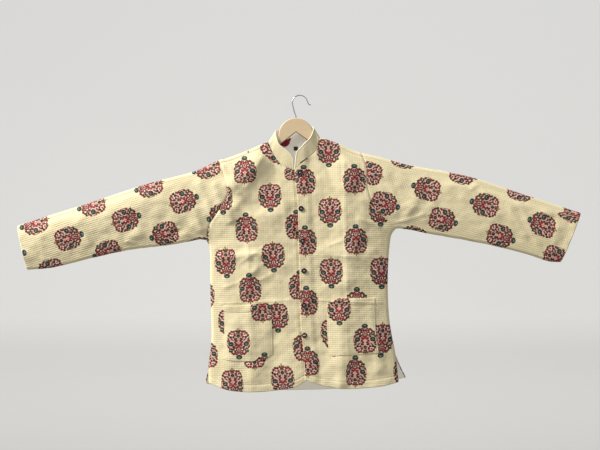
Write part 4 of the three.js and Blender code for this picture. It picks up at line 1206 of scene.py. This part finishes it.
class Graph:
    """Short calls for a material's nodes."""

    def __init__(self, tree):
        self.tree = tree

    def node(self, kind, **settings):
        made = self.tree.nodes.new(kind)
        for key, value in settings.items():
            setattr(made, key, value)
        return made

    def put(self, sockets, **values):
        """Links or sets inputs by their names, in which _ stands for a space."""
        for name, value in values.items():
            self.join(sockets[name.replace("_", " ")], value)

    def join(self, socket, value):
        if isinstance(value, bpy.types.NodeSocket):
            self.tree.links.new(value, socket)
        else:
            socket.default_value = value

    def call(self, kind, *values, **settings):
        """A node with its first inputs filled in turn."""
        made = self.node(kind, **settings)
        for socket, value in zip(made.inputs, values):
            self.join(socket, value)
        return made.outputs

    def math(self, operation, *values, clamp=False):
        return self.call("ShaderNodeMath", *values, operation=operation, use_clamp=clamp)[0]

    def split(self, vector):
        return self.call("ShaderNodeSeparateXYZ", vector)

    def pair(self, x, y):
        return self.call("ShaderNodeCombineXYZ", x, y)[0]

    def vector(self, operation, *values):
        return self.call("ShaderNodeVectorMath", *values, operation=operation)[0]

    def length(self, vector):
        return self.call("ShaderNodeVectorMath", vector, operation="LENGTH")["Value"]

    def mix(self, share, first, second):
        made = self.node("ShaderNodeMix", data_type="RGBA")
        for index, value in ((0, share), (6, first), (7, second)):
            self.join(made.inputs[index], value)
        return made.outputs[2]

    def ellipse(self, vector, x, y, rx, ry, turn, soft=0.12):
        """1 inside an ellipse and 0 outside it, with a soft edge."""
        place = self.node("ShaderNodeMapping", vector_type="TEXTURE")
        rotation = (0, 0, math.radians(turn))
        self.put(place.inputs, Vector=vector, Location=(x, y, 0), Rotation=rotation, Scale=(rx, ry, 1))
        return self.math("MULTIPLY_ADD", self.length(place.outputs[0]), -1 / soft, 1 / soft + 0.5, clamp=True)

    def noise(self, vector, scale, detail=3.0):
        made = self.node("ShaderNodeTexNoise")
        self.put(made.inputs, Vector=vector, Scale=scale, Detail=detail, Roughness=0.55)
        return made.outputs["Fac"]

    def geometry(self, name):
        return self.node("ShaderNodeNewGeometry").outputs[name]

    def bump(self, shader, height, strength, depth):
        """Raises the surface by a height, at a depth in millimetres."""
        made = self.node("ShaderNodeBump")
        self.put(made.inputs, Height=height, Strength=strength, Distance=depth * MM)
        self.put(shader.inputs, Normal=made.outputs[0])


def linear(red, green, blue):
    """A colour given as seen on a screen, from 0 to 255."""
    channels = (red, green, blue)
    return (*(((c / 255 + 0.055) / 1.055) ** 2.4 if c > 10 else c / 3295 for c in channels), 1.0)


COLOURS = {
    "cream": linear(228, 208, 178),
    "dark": linear(16, 12, 15),
    "crimson": linear(122, 12, 36),
    "maroon": linear(64, 9, 21),
    "pink": linear(204, 130, 128),
    "green": linear(10, 58, 44),
    "teal": linear(104, 150, 136),
    "olive": linear(112, 96, 58),
    "umber": linear(84, 50, 38),
    "pale": linear(228, 196, 180),
}

# A flower sprig of the builder's own, mirrored about its axis, from the bottom layer up. It is
# 64 wide and 94 high; sizes are the half axes of ellipses and turns are in degrees.
MOTIF = table("x y rx ry turn colour", [
    (0, 1.5, 25.5, 28.5, 0, "pink"), (0, 8.8, 3.2, 4.0, 0, "crimson"), (6.3, 5.5, 4.4, 2.9, 41, "crimson"),
    (9.6, -0.8, 4.4, 2.8, -3, "crimson"), (6.0, -5.8, 3.6, 2.3, -40, "maroon"), (0, 0, 2.6, 2.6, 0, "pink"),
    (3.6, -0.6, 1.7, 1.4, 0, "cream"), (7.6, -10, 4.4, 2.2, 27, "maroon"), (0, -18.2, 6.2, 6.4, 0, "pale"),
    (0, -18.2, 5.0, 5.2, 0, "dark"), (0, -18.2, 2.5, 2.7, 0, "green"), (0, -28.6, 3.2, 4.4, 0, "umber"),
    (0, -35.6, 1.7, 4.6, 0, "olive"), (16.6, -22.2, 8.4, 7.6, 0, "pale"),
    (9.6, -21.6, 2.9, 3.9, -8, "crimson"), (11.4, -29.0, 3.3, 2.7, 30, "crimson"),
    (20.2, -15.4, 3.8, 2.9, -12, "dark"), (13.4, -15.8, 2.9, 2.4, 10, "dark"),
    (17.0, -22.6, 2.0, 1.7, 0, "crimson"), (5.2, -31.4, 2.4, 2.2, 0, "crimson"),
    (17.2, -29.6, 3.5, 2.6, -24, "umber"), (22.6, -25.4, 3.3, 2.9, 30, "crimson"),
    (26.2, -18.6, 2.8, 3.5, 0, "maroon"), (27.4, -10.8, 2.4, 1.9, 0, "umber"),
    (29.6, -11.5, 1.9, 1.6, 0, "olive"), (20.7, 3.3, 9.4, 9.0, 0, "pale"),
    (20.7, 3.3, 7.8, 6.9, -18, "dark"), (20.4, 3.4, 5.2, 4.4, -18, "green"),
    (21.4, 4.6, 1.9, 1.2, 0, "teal"), (27.0, -4.6, 4.2, 2.3, 30, "crimson"),
    (31.0, 3.5, 0.8, 5.4, 0, "olive"), (27.6, 12, 4.4, 2.5, -55, "crimson"),
    (19.4, 17.4, 3.8, 2.3, -35, "dark"), (9.2, 18.2, 5.7, 5.4, 0, "dark"),
    (9.2, 18.2, 3.6, 3.4, 0, "umber"), (9.2, 18.2, 2.0, 1.9, 0, "pale"), (0, 18, 1.5, 3.0, 0, "dark"),
    (14.4, 11.2, 2.9, 2.0, 40, "maroon"), (4.2, 12.8, 2.4, 1.8, -30, "crimson"),
    (22.0, 23.4, 5.6, 2.7, 10, "green"), (24.4, 21.6, 3.2, 1.5, 10, "dark"),
    (3.0, 26.6, 2.4, 4.0, 12, "crimson"), (9.4, 28.2, 2.9, 3.9, -18, "crimson"),
    (14.8, 30.2, 3.6, 2.7, -35, "maroon"), (18.4, 27.2, 3.0, 2.2, -20, "crimson"),
    (6.2, 32.4, 2.3, 2.0, 0, "maroon"), (0, 38.8, 9.0, 7.2, 0, "pale"), (0, 38.9, 8.3, 6.4, 0, "dark"),
    (0, 39.4, 5.6, 4.2, 0, "green"), (0, 40.8, 2.8, 1.4, 0, "teal"),
])


SMALL_PETALS = ("crimson", "maroon", "umber")
INK_SPREAD = 0.55  # how far the ink of the small petals runs out
GROUND_COVER = 0.85  # of the sprig's pink ground, its first shape
WAVER = 0.8  # how far the shapes' edges waver, since blocks print a little unevenly
RIM_OVAL = (31.0, 35.0)
# Rings of petals round the sprig: share of its oval, count, size, turn in half petals and colour
RIM_PETALS = (
    (0.91, 22, 0.12, 0, "maroon"), (0.74, 20, 0.14, 1, "crimson"), (0.56, 16, 0.13, 0, "dark"),
)


def motif_group():
    """Node group: print coordinates in millimetres to the print's colour and cover."""
    tree = bpy.data.node_groups.new("sprig", "ShaderNodeTree")
    tree.interface.new_socket("Vector", in_out="INPUT", socket_type="NodeSocketVector")
    tree.interface.new_socket("Colour", in_out="OUTPUT", socket_type="NodeSocketColor")
    tree.interface.new_socket("Cover", in_out="OUTPUT", socket_type="NodeSocketFloat")
    g = Graph(tree)
    places, outputs = g.node("NodeGroupInput").outputs[0], g.node("NodeGroupOutput")
    split = g.split(places)
    column = g.math("ROUND", g.math("DIVIDE", split[0], COLUMN_PITCH))
    odd = g.math("ABSOLUTE", g.math("MODULO", column, 2.0))
    across = g.math("ABSOLUTE", g.math("MULTIPLY_ADD", column, -COLUMN_PITCH, split[0]))
    shifted = g.math("MULTIPLY_ADD", odd, MOTIF_PITCH * ODD_SHIFT, split[1])
    row = g.math("ROUND", g.math("DIVIDE", shifted, MOTIF_PITCH))
    local = g.math("MULTIPLY_ADD", row, -MOTIF_PITCH, shifted)
    up = g.math("MULTIPLY", local, g.math("MULTIPLY_ADD", odd, -2.0, 1.0))
    waver = g.noise(places, 0.45, detail=1.0)
    push = [g.math("MULTIPLY_ADD", waver, 2 * turn * WAVER, -turn * WAVER) for turn in (1, -1)]
    vector = g.vector("ADD", g.pair(across, up), g.pair(*push))
    colour, cover = COLOURS["cream"], 0.0
    for number, shape in enumerate(MOTIF):
        spread = INK_SPREAD if shape["colour"] in SMALL_PETALS else 0.0
        rx, ry = shape["rx"] + spread, shape["ry"] + spread
        layers = [(g.ellipse(vector, shape["x"], shape["y"], rx, ry, shape["turn"]), shape["colour"])]
        if number == 0:
            layers = [(g.math("MULTIPLY", layers[0][0], GROUND_COVER), shape["colour"])]
            layers += [(petal_ring(g, vector, *petals), tint) for *petals, tint in RIM_PETALS]
        for mask, tint in layers:
            colour = g.mix(mask, colour, COLOURS[tint])
            cover = g.math("MAXIMUM", mask, cover)
    g.put(outputs.inputs, Colour=colour, Cover=cover)
    return tree


def petal_ring(g, vector, radius, count, size, turn):
    """A ring of small petals round the sprig's oval."""
    scaled = g.vector("DIVIDE", vector, (*RIM_OVAL, 1))
    split = g.split(scaled)
    angle = g.math("ARCTAN2", split[1], split[0])
    lobes = g.math("COSINE", g.math("MULTIPLY_ADD", angle, float(count), turn * math.pi))
    away = g.math("ABSOLUTE", g.math("SUBTRACT", g.length(scaled), radius))
    edge = g.math("MULTIPLY_ADD", lobes, size, g.math("MULTIPLY", away, -1.0))
    return g.math("MULTIPLY_ADD", edge, 30.0, 0.5, clamp=True)


def principled(name, roughness):
    """A new material, with its graph and its shader."""
    material = bpy.data.materials.new(name)
    material.use_nodes = True
    shader = material.node_tree.nodes["Principled BSDF"]
    g = Graph(material.node_tree)
    g.put(shader.inputs, Roughness=roughness)
    return material, g, shader


def stitching(g, rows):
    """Cover of the threads, and masks of the needle holes and of the cloth pulled in round them, which sink
    the bump and carry painted shade.
    """
    split = g.split(rows)

    def away(socket, pitch):
        part = g.math("FRACT", g.math("MULTIPLY_ADD", socket, 1 / pitch, 0.5))
        return g.math("MULTIPLY", g.math("ABSOLUTE", g.math("SUBTRACT", part, 0.5)), pitch)

    from_hole = away(split[0], STITCH_PITCH)
    from_row = away(split[1], ROW_PITCH)
    near_row = g.math("MULTIPLY_ADD", from_row, -1.6, 1.2, clamp=True)
    thread = g.math("MULTIPLY", near_row, g.math("MULTIPLY_ADD", from_hole, 2.0, -1.6, clamp=True))
    squares = g.math("ADD", g.math("POWER", from_hole, 2.0), g.math("POWER", from_row, 2.0))
    distance = g.math("POWER", squares, 0.5)
    hole = g.math("MULTIPLY_ADD", distance, -1.8, 1.7, clamp=True)
    pull = g.math("MULTIPLY_ADD", distance, -0.5, 1.15, clamp=True)
    return thread, hole, pull


def cloth_material(name, printed):
    """Cream cotton with its running stitch, painted shade in its needle holes and round them, and the sprig
    where it is printed.
    """
    material, g, shader = principled(name, 0.66)
    places = g.node("ShaderNodeUVMap", uv_map="print").outputs[0]
    fine = g.noise(places, 0.55)
    colour = g.mix(g.noise(places, 0.012, detail=2.0), linear(224, 209, 166), linear(236, 224, 186))
    colour = g.mix(g.math("MULTIPLY", fine, 0.3), colour, linear(214, 198, 154))
    thread, hole, pull = stitching(g, g.node("ShaderNodeUVMap", uv_map="stitches").outputs[0])
    if printed:
        sprig = g.node("ShaderNodeGroup", node_tree=motif)
        g.put(sprig.inputs, Vector=places)
        sprig = sprig.outputs
        ink = g.mix(g.math("MULTIPLY", fine, 0.03), sprig[0], COLOURS["pink"])
        colour = g.mix(g.math("MULTIPLY", sprig[1], 0.99), colour, ink)
    # Painted shade: the needle holes and the cloth pulled in round them are darkened, more in some patches
    # than in others.
    painted_shade_patches = g.math("MULTIPLY_ADD", g.noise(places, 0.022, detail=1.0), 5.0, -2.2, clamp=True)
    painted_shade_share = g.math("MULTIPLY_ADD", painted_shade_patches, 0.26, 0.05)
    colour = g.mix(g.math("MULTIPLY", pull, g.math("MULTIPLY", painted_shade_share, 0.5)), colour, linear(120, 98, 62))
    colour = g.mix(g.math("MULTIPLY", thread, 0.35), colour, linear(236, 226, 196))
    colour = g.mix(g.math("MULTIPLY", hole, painted_shade_share), colour, linear(96, 76, 46))
    height = 0.0
    crumple = g.noise(places, 0.2, detail=2.0)
    weave = g.noise(places, 2.4, detail=2.0)
    for part, share in ((weave, 0.2), (thread, 0.35), (crumple, 1.1), (hole, -0.5), (pull, -0.3)):
        height = g.math("MULTIPLY_ADD", part, share, height)
    g.bump(shader, height, 0.8, 0.7)
    g.put(shader.inputs, Base_Color=colour, Sheen_Weight=0.04, Sheen_Roughness=0.4, Specular_IOR_Level=0.14)
    return material


# The blots on the lining: the distance between them, and the place of one as x and z
BLOT_SPACING = 166.0
BLOT_PLACE = (-45.0, -128.0)
BLOT = linear(104, 24, 38)


def lining_material():
    """Pale plain cotton with a few large maroon blots of print, and painted light: the lining glows a little
    in its own colour so that its shaded inside looks lit.
    """
    material, g, shader = principled("lining", 0.9)
    scaled = g.node("ShaderNodeVectorMath", operation="SCALE")
    g.put(scaled.inputs, Vector=g.geometry("Position"), Scale=1 / MM)
    places = scaled.outputs[0]
    split = g.split(places)
    cells = []
    for socket, start in zip((split[0], split[2]), BLOT_PLACE):
        moved = g.math("DIVIDE", g.math("SUBTRACT", socket, start), BLOT_SPACING)
        cells.append(g.math("MULTIPLY", g.math("SUBTRACT", moved, g.math("ROUND", moved)), BLOT_SPACING))
    place = g.pair(*cells)
    colour = g.mix(g.noise(places, 0.9), linear(226, 222, 210), linear(206, 201, 188))
    colour = g.mix(g.ellipse(place, 0, 0, 18, 11, 20, soft=0.1), colour, BLOT)
    colour = g.mix(g.ellipse(place, 14, 8, 9, 4, 50, soft=0.15), colour, BLOT)
    # Painted light: the lining glows faintly in its own colour, which lightens the shade inside the jacket.
    g.put(shader.inputs, Base_Color=colour, Emission_Color=colour, Emission_Strength=0.25)
    g.bump(shader, g.noise(places, 1.8), 0.4, 0.4)
    return material


def plain_material(
    name, first, second, roughness, scale, metallic=0.0, stretch=(1, 1, 1), bump=0.1, under=None
):
    """A material of two near colours mixed by a noise over the part, and another as painted shade on the
    faces that look down.
    """
    material, g, shader = principled(name, roughness)
    place = g.node("ShaderNodeMapping")
    g.put(place.inputs, Vector=g.geometry("Position"), Scale=stretch)
    grain = g.noise(place.outputs[0], scale, detail=5.0)
    colour = g.mix(grain, linear(*first), linear(*second))
    if under:
        # Painted shade: faces that look down turn to the under colour.
        down = g.math("MULTIPLY_ADD", g.split(g.geometry("Normal"))[2], -2.0, -0.2, clamp=True)
        colour = g.mix(down, colour, linear(*under))
    g.put(shader.inputs, Base_Color=colour, Metallic=metallic)
    g.bump(shader, grain, 0.3, bump)
    return material


motif = motif_group()
materials.update({
    "cloth": cloth_material("printed_cloth", True),
    "plain": cloth_material("plain_cloth", False),
    "lining": lining_material(),
    # Paler than the cloth: partly the cord's own colour and partly painted highlight on the collar's rim and
    # the rolled hems.
    "piping": plain_material("piping", (244, 236, 210), (232, 222, 190), 0.8, 900),
    "button": plain_material("button", (24, 18, 18), (42, 30, 27), 0.36, 260),
    "button_thread": plain_material("button_thread", (216, 210, 206), (176, 168, 166), 0.7, 1500),
    "thread": plain_material("thread", (232, 222, 192), (208, 194, 156), 0.8, 1500),
    # The slit's dark colour is painted shadow in the buttonhole openings.
    "slit": plain_material("slit", (60, 46, 34), (40, 30, 22), 0.9, 800),
    "hole_thread": plain_material("hole_thread", (66, 46, 32), (92, 66, 44), 0.85, 1800),
    "label": plain_material("label_tape", (26, 26, 30), (44, 43, 46), 0.75, 2200),
    # The wood's under colour is a darker painted shade on the board's downward faces.
    "wood": plain_material(
        "hanger_wood", (222, 200, 164), (204, 178, 138), 0.42, 26,
        stretch=(1, 4, 9), bump=0.15, under=(134, 98, 56),
    ),
    "wire": plain_material("hook_wire", (208, 210, 212), (190, 192, 196), 0.18, 120, metallic=1.0),
})

for side in ("right", "left"):
    build_front(side)
    build_sleeve(side)
    build_pocket(side)
build_back()
build_collar()
build_label()
build_hanger()
build_hook()
# Each button sits near one end of a level slit that starts at the front's edge
HOLE_FROM_EDGE = 3.5
HOLE_PAST_BUTTON = 3.0
for number in range(1, BUTTON_COUNT + 1):
    x, z = build_button(number)
    slit_ends = (float(edge_x(z)) + HOLE_FROM_EDGE, z), (x + HOLE_PAST_BUTTON, z)
    build_buttonhole(str(number), "cloth_front_left", *slit_ends, materials["thread"])
# The collar's own buttonhole, slanting and empty, with a knot at its upper end
COLLAR_HOLE = (0.8, -182.8), (19, -170.4)
build_buttonhole("collar", "cloth_collar", *COLLAR_HOLE, materials["hole_thread"])
knot, knot_out = on_cloth("cloth_collar", *COLLAR_HOLE[1])
tube("buttonhole_knot", [knot, knot + knot_out], HOLE["knot"], materials["hole_thread"])

# The camera looks straight at the jacket from the distance at which one pixel is 2.7 mm
MM_PER_PIXEL = 2.7
IMAGE_WIDTH = 600
CAMERA_DISTANCE = 2.4
CAMERA_HEIGHT = -0.350
PLANE_Y = -0.009  # the plane in which that holds, among the cloth's front faces
SENSOR = 36.0
camera_data = bpy.data.cameras.new("camera")
camera_data.sensor_width = SENSOR
camera_data.lens = SENSOR * (CAMERA_DISTANCE + PLANE_Y) / (IMAGE_WIDTH * MM_PER_PIXEL * MM)
camera = linked("camera", camera_data)
camera.location = (0.0, -CAMERA_DISTANCE, CAMERA_HEIGHT)
camera.rotation_euler = (math.radians(90), 0, 0)
bpy.context.scene.camera = camera


def backdrop_material(floor):
    """Pale and matt, with painted shade that makes it darker towards the floor, which the key light strikes
    more squarely.
    """
    material, g, shader = principled("backdrop", 0.95)
    # Painted shade: the colour darkens from the wall down to the floor.
    up = g.math("MULTIPLY_ADD", g.split(g.geometry("Position"))[2], 0.7, -0.7 * floor, clamp=True)
    colour = g.mix(up, linear(140, 139, 136), linear(236, 236, 235))
    g.put(shader.inputs, Base_Color=colour, Specular_IOR_Level=0.0)
    return material


def backdrop():
    """A pale floor that sweeps up far behind the jacket."""
    floor, front, wall, top, radius, half, steps = -2.4, -4.0, 3.6, 3.5, 1.2, 6.0, 16
    profile = [(front, floor), (wall - radius, floor)]
    for angle in np.linspace(0, math.pi / 2, steps + 1)[1:]:
        profile.append((wall - radius + radius * math.sin(angle), floor + radius - radius * math.cos(angle)))
    profile.append((wall, top))
    vertices = [(x, y, z) for y, z in profile for x in (-half, half)]
    faces = [(2 * i, 2 * i + 1, 2 * i + 3, 2 * i + 2) for i in range(len(profile) - 1)]
    mesh = bpy.data.meshes.new("backdrop")
    mesh.from_pydata(vertices, [], faces)
    mesh.polygons.foreach_set("use_smooth", [True] * len(faces))
    mesh.materials.append(backdrop_material(floor))
    linked("backdrop", mesh)


def light(name, kind, direction, energy, colour=(1, 1, 1), place=(0, 0, 0), **settings):
    """A light that shines along a direction."""
    data = bpy.data.lights.new(name, kind)
    data.energy, data.color = energy, colour
    for key, value in settings.items():
        setattr(data, key, value)
    lamp = linked(name, data)
    lamp.location = place
    lamp.rotation_euler = Vector(direction).to_track_quat("-Z", "Y").to_euler()


WARM = (1.0, 0.985, 0.95)
backdrop()
light("key", "SUN", (0.69, 0.28, -0.67), 4.1, WARM, angle=math.radians(14))
light("window", "AREA", (1.15, 0.6, -1.1), 17, WARM, place=(-1.45, -0.6, 0.75), size=0.7)
light("back", "AREA", (-0.8, -2.4, -1.6), 22, place=(0.8, 2.4, 1.2), size=1.5)

world = bpy.data.worlds.new("studio")
world.use_nodes = True
Graph(world.node_tree).put(
    world.node_tree.nodes["Background"].inputs, Color=(0.96, 0.97, 1.0, 1), Strength=0.46
)
bpy.context.scene.world = world
bpy.context.scene.view_settings.view_transform = "Standard"
